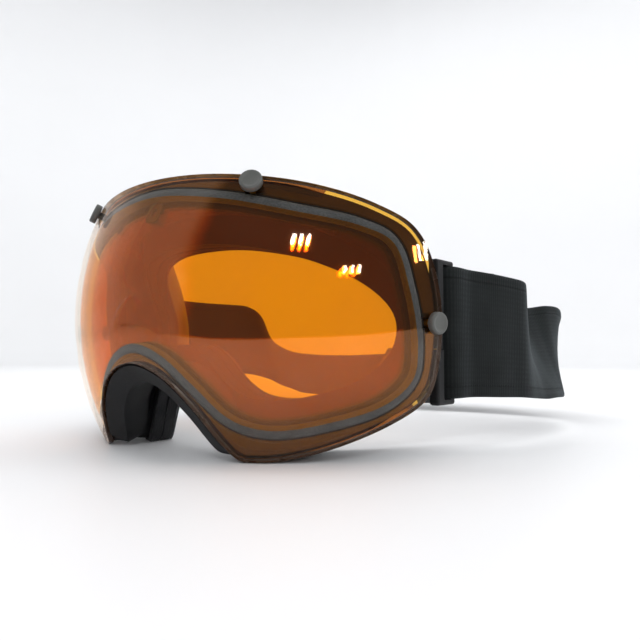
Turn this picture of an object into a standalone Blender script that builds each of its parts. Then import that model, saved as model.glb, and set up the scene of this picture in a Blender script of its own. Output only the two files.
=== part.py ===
"""Frameless double-lens ski goggles standing on their lens, with an elastic strap looped behind them.

The front faces -Y, +X is the wearer's left and +Z is up. Shapes are worked out in millimetres in the lens's own
frame, whose origin is the centre of the toric lens, and to_world() moves them onto the surface at z = 0.
"""

import math

import bmesh
import bpy
import numpy as np
from mathutils import Matrix, Vector

MM = 0.001
LENS_HEIGHT = 53.2       # centre of the lens above the surface that the goggles stand on
DEPTH_SHIFT = -42.445    # puts the origin under the middle of the whole object

# Lens: a toric shell, curved more from side to side than from top to bottom.
LENS_RADIUS_H = 94.8
LENS_RADIUS_V = 111.3
LENS_THICKNESS = 2.0
GAP = 0.35               # running and assembly gap between touching solids

# Outlines are half outlines, from the middle of the brow round the wearer's left side to the middle of the nose.
# The lens ones hold (degrees round the lens, height), the face ones (sideways, height). Their knots match in pairs.
LENS_EDGE = (
    (0, 46.4), (20, 45.2), (40, 41.4), (56, 35.2), (66, 27.0), (70.2, 8), (71.2, -18), (69.4, -32),
    (60, -41), (45, -49.2), (32, -53), (25, -52.8), (20.5, -46.4), (14.8, -34.2), (8, -24.2), (0, -20),
)
GASKET_LINE = (
    (0, 42), (19, 38.8), (37, 33.2), (52, 29), (60.3, 23), (63.5, 7), (66.2, -14), (65.6, -27),
    (58, -36.5), (45, -42), (34.5, -44.4), (27, -43.2), (21, -38.6), (14.5, -28.5), (7.5, -18.9), (0, -15),
)
FACE_OUTER = (
    (0, 41), (25, 40.2), (47, 35.5), (63, 26), (72, 13), (76.5, -3), (75.5, -20), (68, -36),
    (54, -46.5), (42, -51.6), (33, -53.2), (26.5, -53.2), (22.2, -45), (18, -33), (9.5, -25.4), (0, -23.5),
)
FACE_INNER = (
    (0, 25), (20, 24), (40, 20), (55, 13.5), (64, 5), (67.5, -5), (65.5, -17), (58, -26.5),
    (47, -31.5), (36, -33.3), (27, -32), (20.5, -28), (15.5, -23), (11, -18), (5.5, -14.2), (0, -13),
)
KNOTS = len(LENS_EDGE) - 1
STATIONS = 60

# Face side: the foam's rear surface wraps round the face.
FACE_REAR_Y = -52.0
FACE_WRAP = 47.0
FACE_HALF_WIDTH = 68.0
FACE_POWER = 2.4
FOAM_DEPTH = 13.5
FLANGE_THICKNESS = 2.2

GASKET_HALF = 1.75
GASKET_DEPTHS = (LENS_THICKNESS + 0.4, 5.8)
INNER_LENS_REACH = 2.3   # from the gasket's line to the edge of the inner lens
INNER_LENS_DEPTHS = (6.1, 7.1)
SEAT_DEPTHS = (7.45, 9.3)

# Frame section in (inset from the lens edge, depth): plain rim, and the lip that rolls out round the nose.
RIM_PLAIN = ((2.0, 2.4), (1.9, 2.7), (1.8, 6.0), (2.2, 8.5))
RIM_NOSE = ((-0.1, 2.75), (-0.9, 1.0), (-7.6, 5.0), (-8.0, 8.5))
WALL_INSET_PLAIN = 4.5
WALL_INSET_NOSE = 1.0
NOSE_START = 10.5        # knot at which the lip starts to roll out
NOSE_RAMP = 1.5
FLANGE_INSET = 2.2
WALL_THICKNESS = 2.0

# Studs: (degrees round the lens, height)
STUD_PLACES = {"brow": (27.6, 40.4), "temple": (68.5, -5.6)}
STUD_CAP_RADIUS = 3.95
STUD_CAP_HEIGHT = 2.5
STUD_EDGE_ROUND = 0.6
STUD_CAP_GAP = 0.2
STUD_SHAFT_RADIUS = 1.5
STUD_HOLE_RADIUS = 1.9
STUD_SHAFT_DEPTH = 6.4
BOSS_RADIUS = 3.4

# Outriggers: strap carriers that swing on a vertical pin at each end of the frame.
HINGE_X = 83.6
HINGE_Y = -21.5
OUTRIGGER_ANGLE = math.radians(12)
OUTRIGGER_FRONT = -2.1
OUTRIGGER_BACK = 9.9
OUTRIGGER_THICKNESS = 4.0
OUTRIGGER_Z = (-35.3, 19.3)
SLOT_SPAN = (2.1, 6.6)
SLOT_Z = (-33.35, 17.35)
BAR_CENTRE = 8.2
KNUCKLE_Z = (-14.3, -1.7)
KNUCKLE_GAP = 0.4
KNUCKLE_RADIUS = 2.5
KNUCKLE_ROOT_X = 78.0     # where its web grows out of the frame's wall
PIN_RADIUS = 1.25
PIN_BORE = 1.35
PIN_Z = (-24.0, 19.0)

# Strap: its middle line as (x, y, height of the middle, lean of the width away from the vertical in degrees).
STRAP_WIDTH = 50.0
STRAP_THICKNESS = 1.5
STRAP_LAYER_GAP = 0.5
STRAP_LEFT = (
    (85.3, -13.5, -8, 0), (91.6, -0.5, -8.3, 0), (98.3, 13.4, -8.8, 0), (104.6, 30.2, -9.8, 0),
    (102.3, 47, -11.6, -10), (99, 61, -14, -22), (99, 76, -14.8, -26), (101.5, 91, -14.5, -20),
    (104, 105, -13.9, -9), (101, 124, -15, 8), (86, 144, -21, 34), (60, 154, -27.29, 55),
)
STRAP_RIGHT = (
    (-85.3, -13.5, -8, 0), (-91.6, -0.5, -8, 0), (-98, 13, -7.8, 0), (-103.4, 30, -7.6, 0),
    (-106.8, 55, -7, 0), (-108.1, 80, -6, 0), (-106.5, 99, -6, 3), (-101, 112, -11, 18),
    (-96, 121, -21, 40), (-89, 133, -28.5, 50), (-77, 147.5, -31.8, 54), (-60, 154, -32.21, 55),
)
STRAP_BACK_Y = 154.0
STRAP_BACK_Z = -29.75
STRAP_BACK_SLOPE = 0.041
STRAP_BACK_LEAN = math.radians(55)
LOOP_RADIUS = 3.6        # of the fold that wraps round the outrigger's bar
LOOP_LENGTH = 28.0
LOOP_SPREAD = 13.0
STRAP_CUT = 0.8          # clear space between the sewn end loop and the band behind it
OVERLAP_START = 92.0     # where a band starts to step aside for the other one
OVERLAP_END = 44.0       # the two bands lie on each other between the adjusters

# Adjusters that slide along the overlapping bands.
SLIDER_X = 20.0
SLIDER_LENGTH = 16.0
SLIDER_RAIL = 3.0
SLIDER_WINDOW = (51.4, 4.9)
SLIDER_BAR = (3.6, 1.7)
SLIDER_BAR_X = 6.0

# Vents: stretches of the frame's wall, as knots along the outline, on the wearer's left.
TOP_VENTS = ((0.25, 1.05), (1.4, 2.2))
BOTTOM_VENTS = ((8.1, 8.65), (8.95, 9.5))
VENT_SPAN = (0.25, 0.75)
VENT_FOAM_SPAN = (0.14, 0.86)
TOP_FOAM_REACH = 2.45
BOTTOM_FOAM = (7.9, 9.7)

COLOURS = {
    "outer_lens": ((0.62, 0.27, 0.07), 0.06, 0.0),
    "inner_lens": ((0.80, 0.42, 0.12), 0.08, 0.0),
    "lens_gasket": ((0.075, 0.072, 0.066), 0.9, 0.0),
    "breather_patch": ((0.05, 0.035, 0.03), 0.8, 0.0),
    "frame": ((0.022, 0.022, 0.024), 0.55, 0.0),
    "foam": ((0.030, 0.030, 0.032), 1.0, 0.0),
    "fleece": ((0.022, 0.022, 0.024), 1.0, 0.0),
    "stud": ((0.11, 0.112, 0.105), 0.5, 0.0),
    "outrigger": ((0.025, 0.025, 0.026), 0.45, 0.0),
    "pin": ((0.55, 0.55, 0.56), 0.3, 1.0),
    "strap": ((0.022, 0.026, 0.025), 0.95, 0.0),
    "slider": ((0.03, 0.03, 0.032), 0.4, 0.0),
}


# ---------------------------------------------------------------- scene and materials

def clear_scene():
    for obj in list(bpy.data.objects):
        bpy.data.objects.remove(obj)


def new_collection(name):
    collection = bpy.data.collections.new(name)
    bpy.context.scene.collection.children.link(collection)
    return collection


def material(name, finish):
    colour, roughness, metallic = COLOURS[finish]
    made = bpy.data.materials.new(name)
    made.use_nodes = True
    shader = made.node_tree.nodes["Principled BSDF"]
    shader.inputs["Base Color"].default_value = (*colour, 1.0)
    shader.inputs["Roughness"].default_value = roughness
    shader.inputs["Metallic"].default_value = metallic
    return made


def to_world(points):
    """Lens-frame millimetres to world metres."""
    shift = np.array([0.0, DEPTH_SHIFT, LENS_HEIGHT])
    return (np.asarray(points, float) + shift) * MM


def add_part(name, mesh, finish, smooth_angle=40):
    mesh.name = name
    mesh.shade_smooth()
    mesh.set_sharp_from_angle(angle=math.radians(smooth_angle))
    mesh.materials.append(material(name, finish))
    obj = bpy.data.objects.new(name, mesh)
    PARTS.objects.link(obj)
    return obj


def add_cutter(name, mesh):
    obj = bpy.data.objects.new(name, mesh)
    obj.display_type = "WIRE"
    obj.hide_render = True
    CUTTERS.objects.link(obj)
    return obj


def boolean(obj, other, operation):
    modifier = obj.modifiers.new(f"{operation.lower()}_{other.name}", "BOOLEAN")
    modifier.object = other
    modifier.operation = operation
    modifier.solver = "EXACT"


def pivot_at(obj, point):
    """Moves the object's origin to a world point and leaves its mesh where it is."""
    obj.data.transform(Matrix.Translation(-Vector(point)))
    obj.location = point


# ---------------------------------------------------------------- outlines on the lens and on the face

def smooth_step(value):
    value = np.clip(value, 0.0, 1.0)
    return value * value * (3 - 2 * value)


def trace(half, places):
    """Points on the closed smooth outline whose half is given, kept above the surface that the goggles stand on.
    Places run 0..2*KNOTS round it, and wrap."""
    right = [np.array(p, float) for p in half]
    mirror = np.array([-1.0, 1.0])
    loop = right + [p * mirror for p in right[-2:0:-1]]
    count = len(loop)
    points = []
    for place in np.atleast_1d(places):
        base = math.floor(place)
        t = place - base
        a, b, c, d = (loop[(base + k) % count] for k in (-1, 0, 1, 2))
        points.append(0.5 * (2 * b + (c - a) * t + (2 * a - 5 * b + 4 * c - d) * t ** 2
                             + (3 * b - a - 3 * c + d) * t ** 3))
    points = np.array(points)
    points[:, 1] = np.maximum(points[:, 1], -LENS_HEIGHT)
    return points


def lens_trace(half, places):
    """The same for an outline on the lens, with its angles turned to millimetres round the lens."""
    points = trace(half, places)
    points[:, 0] *= math.radians(1) * LENS_RADIUS_H
    return points


def inset(tracer, half, places, distance):
    """The outline moved inwards by a distance, or one for each place."""
    step = 0.02
    points = tracer(half, places)
    along = tracer(half, np.asarray(places) + step) - tracer(half, np.asarray(places) - step)
    along /= np.linalg.norm(along, axis=1)[:, None]
    inward = np.stack([along[:, 1], -along[:, 0]], axis=1)
    return points + inward * np.reshape(distance, (-1, 1))


def on_lens(points, depth):
    """(along the lens, height) to 3-D, a depth below the lens's outer surface."""
    depth = np.broadcast_to(np.asarray(depth, float), len(points))
    turn = points[:, 0] / LENS_RADIUS_H
    rise = np.arcsin(points[:, 1] / LENS_RADIUS_V)
    radius = LENS_RADIUS_H - LENS_RADIUS_V + (LENS_RADIUS_V - depth) * np.cos(rise)
    height = (LENS_RADIUS_V - depth) * np.sin(rise)
    return np.stack([radius * np.sin(turn), -radius * np.cos(turn), height], axis=1)


def lens_frame(degrees, height):
    """(point on the lens's outer surface, outward direction) at one place."""
    spot = np.array([[math.radians(degrees) * LENS_RADIUS_H, height]])
    point = on_lens(spot, 0.0)[0]
    outward = point - on_lens(spot, 1.0)[0]
    return point, outward


def face_rear(x):
    return FACE_REAR_Y + FACE_WRAP * (np.abs(x) / FACE_HALF_WIDTH) ** FACE_POWER


def on_face(points, forward):
    """(sideways, height) to 3-D, a distance in front of the foam's rear surface."""
    return np.stack([points[:, 0], face_rear(points[:, 0]) - forward, points[:, 1]], axis=1)


# ---------------------------------------------------------------- meshes from rows of points

def skin(rows, ring=True, wrap=True):
    """A closed mesh through rows of points. ring joins each row's ends, wrap joins the last row to the first.
    End rows that aren't joined are closed by a fan round their middle. Quads are split across their shorter
    diagonal, so that neighbouring surfaces that run alongside each other are split alike."""
    bm = bmesh.new()
    made = [[bm.verts.new(p) for p in to_world(row)] for row in rows]
    pairs = list(zip(made, made[1:]))
    if wrap:
        pairs.append((made[-1], made[0]))
    count = len(made[0])
    last = count if ring else count - 1
    for low, high in pairs:
        for k in range(last):
            n = (k + 1) % count
            bm.faces.new((low[k], low[n], high[n], high[k]))
    if not wrap:
        for row in (made[0], made[-1]):
            middle = bm.verts.new(sum((v.co for v in row), Vector()) / count)
            for k in range(count):
                bm.faces.new((row[k], row[(k + 1) % count], middle))
    bmesh.ops.triangulate(bm, faces=bm.faces, quad_method="SHORT_EDGE")
    bmesh.ops.recalc_face_normals(bm, faces=bm.faces)
    if bm.calc_volume(signed=True) < 0:
        bmesh.ops.reverse_faces(bm, faces=bm.faces)
    mesh = bpy.data.meshes.new("skin")
    bm.to_mesh(mesh)
    bm.free()
    return mesh


def round_box(size, bevel=0.0, segments=2):
    """A box in millimetres about its own middle, with its edges rounded."""
    bm = bmesh.new()
    bmesh.ops.create_cube(bm, size=MM)
    bmesh.ops.scale(bm, vec=size, verts=bm.verts)
    if bevel:
        bmesh.ops.bevel(bm, geom=list(bm.edges), offset=bevel * MM, segments=segments, profile=0.5,
                        affect="EDGES", clamp_overlap=True)
    mesh = bpy.data.meshes.new("box")
    bm.to_mesh(mesh)
    bm.free()
    return mesh


def rod(radius, start, end, segments=16):
    """A cylinder in world metres between two lens-frame points."""
    low, high = (Vector(to_world(p)) for p in (start, end))
    direction = high - low
    bm = bmesh.new()
    bmesh.ops.create_cone(bm, cap_ends=True, segments=segments, radius1=radius * MM, radius2=radius * MM,
                          depth=direction.length)
    turn = direction.to_track_quat("Z", "Y").to_matrix().to_4x4()
    bmesh.ops.transform(bm, matrix=Matrix.Translation((low + high) / 2) @ turn, verts=bm.verts)
    mesh = bpy.data.meshes.new("rod")
    bm.to_mesh(mesh)
    bm.free()
    return mesh


def hull_of(meshes):
    """The convex hull of several meshes."""
    bm = bmesh.new()
    for mesh in meshes:
        bm.from_mesh(mesh)
    made = bmesh.ops.convex_hull(bm, input=bm.verts)
    spare = [v for v in made["geom_interior"] + made["geom_unused"] if isinstance(v, bmesh.types.BMVert)]
    bmesh.ops.delete(bm, geom=spare, context="VERTS")
    inner = [f for f in bm.faces if f not in set(made["geom"])]
    bmesh.ops.delete(bm, geom=inner, context="FACES_ONLY")
    bmesh.ops.recalc_face_normals(bm, faces=bm.faces)
    mesh = bpy.data.meshes.new("hull")
    bm.to_mesh(mesh)
    bm.free()
    return mesh


# ---------------------------------------------------------------- lens, gasket, patch

PLACES = np.arange(STATIONS) * 2 * KNOTS / STATIONS
MIDDLE = np.array([0.0, 6.0])


def shell(half, reach, depths, scales):
    """A curved sheet bounded by an outline, between two depths below the lens surface."""
    edge = inset(lens_trace, half, PLACES, -reach)
    rows = []
    for depth, order in ((depths[0], scales[::-1]), (depths[1], scales)):
        for scale in order:
            rows.append(on_lens(MIDDLE + (edge - MIDDLE) * scale, depth))
    return skin(rows, wrap=False)


def build_lenses():
    outer_rows = (1.0, 0.95, 0.9, 0.84, 0.77, 0.64, 0.4, 0.12)
    inner_rows = (1.0, 0.92, 0.82, 0.6, 0.32, 0.08)
    outer = add_part("outer_lens", shell(LENS_EDGE, 0.0, (0.0, LENS_THICKNESS), outer_rows), "outer_lens")
    for name, side, place in stud_places():
        point, outward = stud_axis(side, place)
        hole = add_cutter(f"lens_hole_{name}", rod(STUD_HOLE_RADIUS, point + 3 * outward, point - 4 * outward))
        boolean(outer, hole, "DIFFERENCE")
    inner = add_part("inner_lens", shell(GASKET_LINE, INNER_LENS_REACH, INNER_LENS_DEPTHS, inner_rows),
                     "inner_lens")
    return [outer, inner, build_gasket(), build_patch()]


def build_gasket():
    rows = []
    for distance, depth in ((-GASKET_HALF, 0), (GASKET_HALF, 0), (GASKET_HALF, 1), (-GASKET_HALF, 1)):
        rows.append(on_lens(inset(lens_trace, GASKET_LINE, PLACES, distance), GASKET_DEPTHS[depth]))
    return add_part("lens_gasket", skin(rows), "lens_gasket")


def build_patch():
    """The breather patch on the inner lens: a small square film with a round window."""
    half = 3.8
    film = 0.45
    top = INNER_LENS_DEPTHS[0] - GAP
    centre = np.array([0.0, 36.2])
    corners = []
    for k in range(16):
        angle = math.radians(22.5 * k + 11.25)
        ray = np.array([math.cos(angle), math.sin(angle)])
        corners.append(centre + ray * min(half / max(abs(ray[0]), abs(ray[1])), half * 1.25))
    corners = np.array(corners)
    window = centre + (corners - centre) * 0.42
    rows = [on_lens(corners, top - film), on_lens(window, top - film), on_lens(window, top), on_lens(corners, top)]
    return add_part("breather_patch", skin(rows), "breather_patch")


# ---------------------------------------------------------------- frame

def mirrored_place(places):
    """Knot number counted on the half outline, for places on either side."""
    places = np.mod(places, 2 * KNOTS)
    return np.minimum(places, 2 * KNOTS - places)


def section(places):
    """The frame's section at each place, as a dictionary of named rows of points."""
    nose = smooth_step((mirrored_place(places) - NOSE_START) / NOSE_RAMP)
    rise = smooth_step((nose - 0.7) / 0.3)
    rows = {}
    seat_outer = inset(lens_trace, GASKET_LINE, places, -INNER_LENS_REACH - 0.45)
    seat_inner = inset(lens_trace, GASKET_LINE, places, GASKET_HALF)
    rows["seat_inner_front"] = on_lens(seat_inner, SEAT_DEPTHS[0])
    rows["seat_outer"] = on_lens(seat_outer, SEAT_DEPTHS[0])
    rows["rim_inner"] = on_lens(seat_outer, RIM_PLAIN[0][1])
    for k, (plain, lip) in enumerate(zip(RIM_PLAIN, RIM_NOSE)):
        distance = plain[0] + (lip[0] - plain[0]) * nose
        depth = plain[1] + (lip[1] - plain[1]) * rise
        rows[f"rim_{k}"] = on_lens(inset(lens_trace, LENS_EDGE, places, distance), depth)
    flange_edge = inset(trace, FACE_OUTER, places, FLANGE_INSET)
    wall_root = inset(trace, FACE_OUTER, places, FLANGE_INSET + WALL_THICKNESS)
    opening = trace(FACE_INNER, places)
    flange_middle = (trace(FACE_OUTER, places) + opening) / 2
    rows["flange_front"] = on_face(flange_edge, FOAM_DEPTH + FLANGE_THICKNESS)
    rows["flange_rear"] = on_face(flange_edge, FOAM_DEPTH)
    rows["middle_rear"] = on_face(flange_middle, FOAM_DEPTH)
    rows["opening_rear"] = on_face(opening, FOAM_DEPTH)
    rows["opening_front"] = on_face(opening, FOAM_DEPTH + FLANGE_THICKNESS)
    rows["middle_front"] = on_face(flange_middle, FOAM_DEPTH + FLANGE_THICKNESS)
    rows["wall_rear"] = on_face(wall_root, FOAM_DEPTH + FLANGE_THICKNESS)
    wall_inset = WALL_INSET_PLAIN + (WALL_INSET_NOSE - WALL_INSET_PLAIN) * nose
    rows["wall_front"] = on_lens(inset(lens_trace, LENS_EDGE, places, wall_inset), SEAT_DEPTHS[1])
    rows["seat_inner_rear"] = on_lens(seat_inner, SEAT_DEPTHS[1])
    return rows


def wall_patch(first, last, span, outside, inside):
    """A solid that follows a stretch of the frame's side wall. outside and inside are distances outwards from the
    wall's outer face and inwards from its inner face; a negative outside starts the solid within the opening."""
    places = np.linspace(first, last, max(4, int(abs(last - first) * 4)))
    rows = section(places)
    front_out, rear_out = rows["rim_3"], rows["flange_front"]
    front_in, rear_in = rows["wall_front"], rows["wall_rear"]
    edges = []
    for share in span:
        outer = front_out + (rear_out - front_out) * share
        inner = front_in + (rear_in - front_in) * share
        inward = (inner - outer) / np.linalg.norm(inner - outer, axis=1)[:, None]
        start = inner - inward * outside if outside < 0 else outer - inward * outside
        edges.append((start, inner + inward * inside))
    (front_a, front_b), (rear_a, rear_b) = edges
    return skin(list(np.stack([front_a, rear_a, rear_b, front_b], axis=1)), wrap=False)


def both_sides(stretches):
    for k, (first, last) in enumerate(stretches):
        yield f"left_{k + 1}", first, last
        yield f"right_{k + 1}", -last, -first


def build_frame():
    frame = add_part("frame", skin(list(section(PLACES).values())), "frame")
    pocket_mesh = shell(GASKET_LINE, INNER_LENS_REACH + 0.8, (1.0, SEAT_DEPTHS[0] + 0.4), (1.0, 0.92, 0.82, 0.5, 0.1))
    pocket = add_cutter("lens_pocket", pocket_mesh)
    for name, side, place in stud_places():
        point, outward = stud_axis(side, place)
        boss = add_cutter(f"boss_{name}", rod(BOSS_RADIUS, point - 2.5 * outward, point - 8.8 * outward))
        boolean(boss, pocket, "DIFFERENCE")
        boolean(frame, boss, "UNION")
    for side in (1, -1):
        low, high = ((side * HINGE_X, HINGE_Y, z) for z in KNUCKLE_Z)
        root = round_box((2.0, 4.2, KNUCKLE_Z[1] - KNUCKLE_Z[0]))
        root.transform(Matrix.Translation(to_world((side * KNUCKLE_ROOT_X, HINGE_Y, sum(KNUCKLE_Z) / 2))))
        knuckle = add_cutter(f"knuckle_{side}", hull_of([rod(KNUCKLE_RADIUS, low, high), root]))
        boolean(frame, knuckle, "UNION")
        bore = add_cutter(f"knuckle_bore_{side}", rod(PIN_BORE, (side * HINGE_X, HINGE_Y, -20),
                                                      (side * HINGE_X, HINGE_Y, 5)))
        boolean(frame, bore, "DIFFERENCE")
    for name, side, place in stud_places():
        boolean(frame, add_cutter(f"stud_path_{name}", stud_path(side, place)), "DIFFERENCE")
    for name, first, last in both_sides(TOP_VENTS + BOTTOM_VENTS):
        vent = add_cutter(f"vent_{name}", wall_patch(first, last, VENT_SPAN, 2.5, 2.5))
        boolean(frame, vent, "DIFFERENCE")
    return frame


def build_vent_foams():
    stretches = {
        "vent_foam_top": (-TOP_FOAM_REACH, TOP_FOAM_REACH),
        "vent_foam_bottom_left": BOTTOM_FOAM,
        "vent_foam_bottom_right": (-BOTTOM_FOAM[1], -BOTTOM_FOAM[0]),
    }
    return [add_part(name, wall_patch(first, last, VENT_FOAM_SPAN, -GAP, 2.2), "foam")
            for name, (first, last) in stretches.items()]


# ---------------------------------------------------------------- face foam

def foam_ring(name, near, far, finish):
    """A ring between two distances in front of the foam's rear surface."""
    outer = trace(FACE_OUTER, PLACES)
    inner = trace(FACE_INNER, PLACES)
    middle = (outer + inner) / 2
    rows = [on_face(outer, far), on_face(outer, near), on_face(middle, near)]
    rows += [on_face(inner, near), on_face(inner, far), on_face(middle, far)]
    return add_part(name, skin(rows), finish)


def build_face_foam():
    return [
        foam_ring("face_foam_base", 7.2, FOAM_DEPTH - GAP, "foam"),
        foam_ring("face_foam_soft", 1.5, 6.9, "foam"),
        foam_ring("face_fleece", 0.0, 1.2, "fleece"),
    ]


# ---------------------------------------------------------------- studs

def stud_places():
    for place in STUD_PLACES:
        yield f"{place}_left", 1, place
        yield f"{place}_right", -1, place


def stud_axis(side, place):
    degrees, height = STUD_PLACES[place]
    return lens_frame(side * degrees, height)


def stud_path(side, place):
    """The space that a stud's shaft sweeps as the lens comes off forwards."""
    point, outward = stud_axis(side, place)
    forward = np.array([0.0, -9.0 / abs(outward[1]), 0.0])
    start, end = point - 2 * outward, point - (STUD_SHAFT_DEPTH + 0.4) * outward
    return hull_of([rod(STUD_HOLE_RADIUS, start, end, 12),
                    rod(STUD_HOLE_RADIUS, start + forward, end + forward, 12)])


def build_stud(name, side, place):
    """A round cap on a plain shaft, turned about its own axis, then set square to the lens."""
    cap_low = STUD_CAP_GAP
    cap_high = STUD_CAP_GAP + STUD_CAP_HEIGHT
    r = STUD_EDGE_ROUND
    profile = [(0.0, cap_high), (STUD_CAP_RADIUS - r, cap_high)]
    profile += [(STUD_CAP_RADIUS - r + r * math.sin(a), cap_high - r + r * math.cos(a))
                for a in (math.radians(45), math.radians(90))]
    profile += [(STUD_CAP_RADIUS, cap_low), (STUD_SHAFT_RADIUS, cap_low),
                (STUD_SHAFT_RADIUS, -STUD_SHAFT_DEPTH), (0.0, -STUD_SHAFT_DEPTH)]
    mesh = bpy.data.meshes.new(name)
    mesh.from_pydata([(x * MM, 0.0, z * MM) for x, z in profile],
                     [(k, k + 1) for k in range(len(profile) - 1)], [])
    mesh.materials.append(material(name, "stud"))
    obj = bpy.data.objects.new(name, mesh)
    PARTS.objects.link(obj)
    screw = obj.modifiers.new("turn", "SCREW")
    screw.steps = 20
    screw.render_steps = 20
    screw.use_merge_vertices = True
    screw.merge_threshold = 0.0000001
    screw.use_smooth_shade = False
    point, outward = stud_axis(side, place)
    obj.location = to_world(point)
    obj.rotation_euler = Vector(outward).to_track_quat("Z", "Y").to_euler()
    return obj


# ---------------------------------------------------------------- outriggers

def outrigger_frame(side):
    """Matrix that puts (across, along, up) of an outrigger into the world, with its origin on the hinge."""
    turn = Matrix.Rotation(-side * OUTRIGGER_ANGLE, 4, "Z")
    return Matrix.Translation(Vector(to_world((side * HINGE_X, HINGE_Y, 0)))) @ turn


def outrigger_block(name, side, thickness, along, heights, bevel=0.0):
    """A box across the outrigger, given by its spans along it and up it."""
    size = (thickness, along[1] - along[0], heights[1] - heights[0])
    mesh = round_box(size, bevel)
    middle = Vector((0, sum(along) / 2, sum(heights) / 2)) * MM
    mesh.transform(Matrix.Translation(middle))
    mesh.transform(outrigger_frame(side))
    mesh.name = name
    return mesh


def build_outrigger(word, side):
    """A flat loop: a front post on the hinge, a rear bar for the strap, and a slot between them."""
    name = f"outrigger_{word}"
    body = outrigger_block(name, side, OUTRIGGER_THICKNESS, (OUTRIGGER_FRONT, OUTRIGGER_BACK), OUTRIGGER_Z, 0.9)
    obj = add_part(name, body, "outrigger")
    slot = outrigger_block("slot", side, 12, SLOT_SPAN, SLOT_Z)
    boolean(obj, add_cutter(f"strap_slot_{word}", slot), "DIFFERENCE")
    notch_z = (KNUCKLE_Z[0] - KNUCKLE_GAP, KNUCKLE_Z[1] + KNUCKLE_GAP)
    notch = outrigger_block("notch", side, 12, (OUTRIGGER_FRONT - 3, SLOT_SPAN[0] + 1.1), notch_z)
    boolean(obj, add_cutter(f"knuckle_notch_{word}", notch), "DIFFERENCE")
    axis = (side * HINGE_X, HINGE_Y)
    bore = rod(PIN_BORE, (*axis, PIN_Z[0] - GAP), (*axis, OUTRIGGER_Z[1] + 3))
    boolean(obj, add_cutter(f"pin_bore_{word}", bore), "DIFFERENCE")
    pivot_at(obj, Vector(to_world((*axis, 0))))
    pin = add_part(f"hinge_pin_{word}", rod(PIN_RADIUS, (*axis, PIN_Z[0]), (*axis, PIN_Z[1])), "pin")
    return [obj, pin]


# ---------------------------------------------------------------- strap

def strap_line(side):
    """The strap's stations on one side: arrays of middle points and leans, finely spaced from the bar backwards."""
    knots = np.array(STRAP_LEFT if side > 0 else STRAP_RIGHT, float)
    before = 2 * knots[0] - knots[1]
    after = knots[-1] + (-side * 22.0, 0, -side * 22.0 * STRAP_BACK_SLOPE, 0)
    knots = np.vstack([before, knots, after])
    made = []
    for k in range(1, len(knots) - 2):
        a, b, c, d = knots[k - 1:k + 3]
        for t in np.arange(12) / 12:
            made.append(0.5 * (2 * b + (c - a) * t + (2 * a - 5 * b + 4 * c - d) * t ** 2
                               + (3 * b - a - 3 * c + d) * t ** 3))
    made.append(knots[-2])
    return np.array(made)


def resample(line, distances):
    """Stations at the given distances along a line."""
    steps = np.linalg.norm(np.diff(line[:, :3], axis=0), axis=1)
    travel = np.concatenate([[0.0], np.cumsum(steps)])
    return np.stack([np.interp(distances, travel, line[:, k]) for k in range(4)], axis=1)


def line_length(line):
    return float(np.linalg.norm(np.diff(line[:, :3], axis=0), axis=1).sum())


def ribbon(stations, shifts, side, thickness=STRAP_THICKNESS, width=STRAP_WIDTH):
    """A flat band through stations (x, y, height, lean). shifts move it outwards, away from the wearer's head."""
    points = stations[:, :3]
    along = np.gradient(points, axis=0)
    along[:, 2] = 0
    along /= np.linalg.norm(along, axis=1)[:, None]
    outward = np.stack([along[:, 1], -along[:, 0], np.zeros(len(along))], axis=1) * side
    lean = np.radians(stations[:, 3])[:, None]
    up = np.array([[0.0, 0.0, 1.0]])
    across = up * np.cos(lean) + outward * np.sin(lean)
    normal = outward * np.cos(lean) - up * np.sin(lean)
    middle = points + normal * np.reshape(shifts, (-1, 1))
    half_width, half_thick = width / 2, thickness / 2
    corners = [middle + across * a * half_width + normal * b * half_thick
               for a, b in ((1, 1), (1, -1), (-1, -1), (-1, 1))]
    return list(np.stack(corners, axis=1))


def build_end_loop(word, side):
    """The strap's sewn end: a hairpin round the outrigger's bar, whose two layers run together behind it."""
    line = strap_line(side)
    half_gap = (STRAP_THICKNESS + STRAP_LAYER_GAP) / 2
    travel = np.array([0, 2, 4, 6.5, 9.5, 13, 20, LOOP_LENGTH])
    spread = half_gap + (LOOP_RADIUS - half_gap) * (1 - smooth_step(travel / LOOP_SPREAD))
    stations = resample(line, travel)
    along = stations[1, :3] - stations[0, :3]
    along /= np.linalg.norm(along)
    outward = np.array([along[1], -along[0], 0.0]) * side
    sides = np.array([along[1], -along[0], 0.0]) * side
    points = [stations[k, :3] + sides * spread[k] for k in range(len(travel) - 1, -1, -1)]
    for k in range(1, 8):
        angle = math.pi * k / 8
        points.append(stations[0, :3] + LOOP_RADIUS * (outward * math.cos(angle) - along * math.sin(angle)))
    points += [stations[k, :3] - sides * spread[k] for k in range(len(travel))]
    path = np.array(points)
    path[:, 2] = stations[0, 2]
    hairpin = np.hstack([path, np.zeros((len(path), 1))])
    obj = add_part(f"strap_end_{word}", skin(ribbon(hairpin, np.zeros(len(path)), side), wrap=False), "strap")
    pivot_at(obj, Vector(to_world((side * HINGE_X, HINGE_Y, 0))))
    return obj


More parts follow.
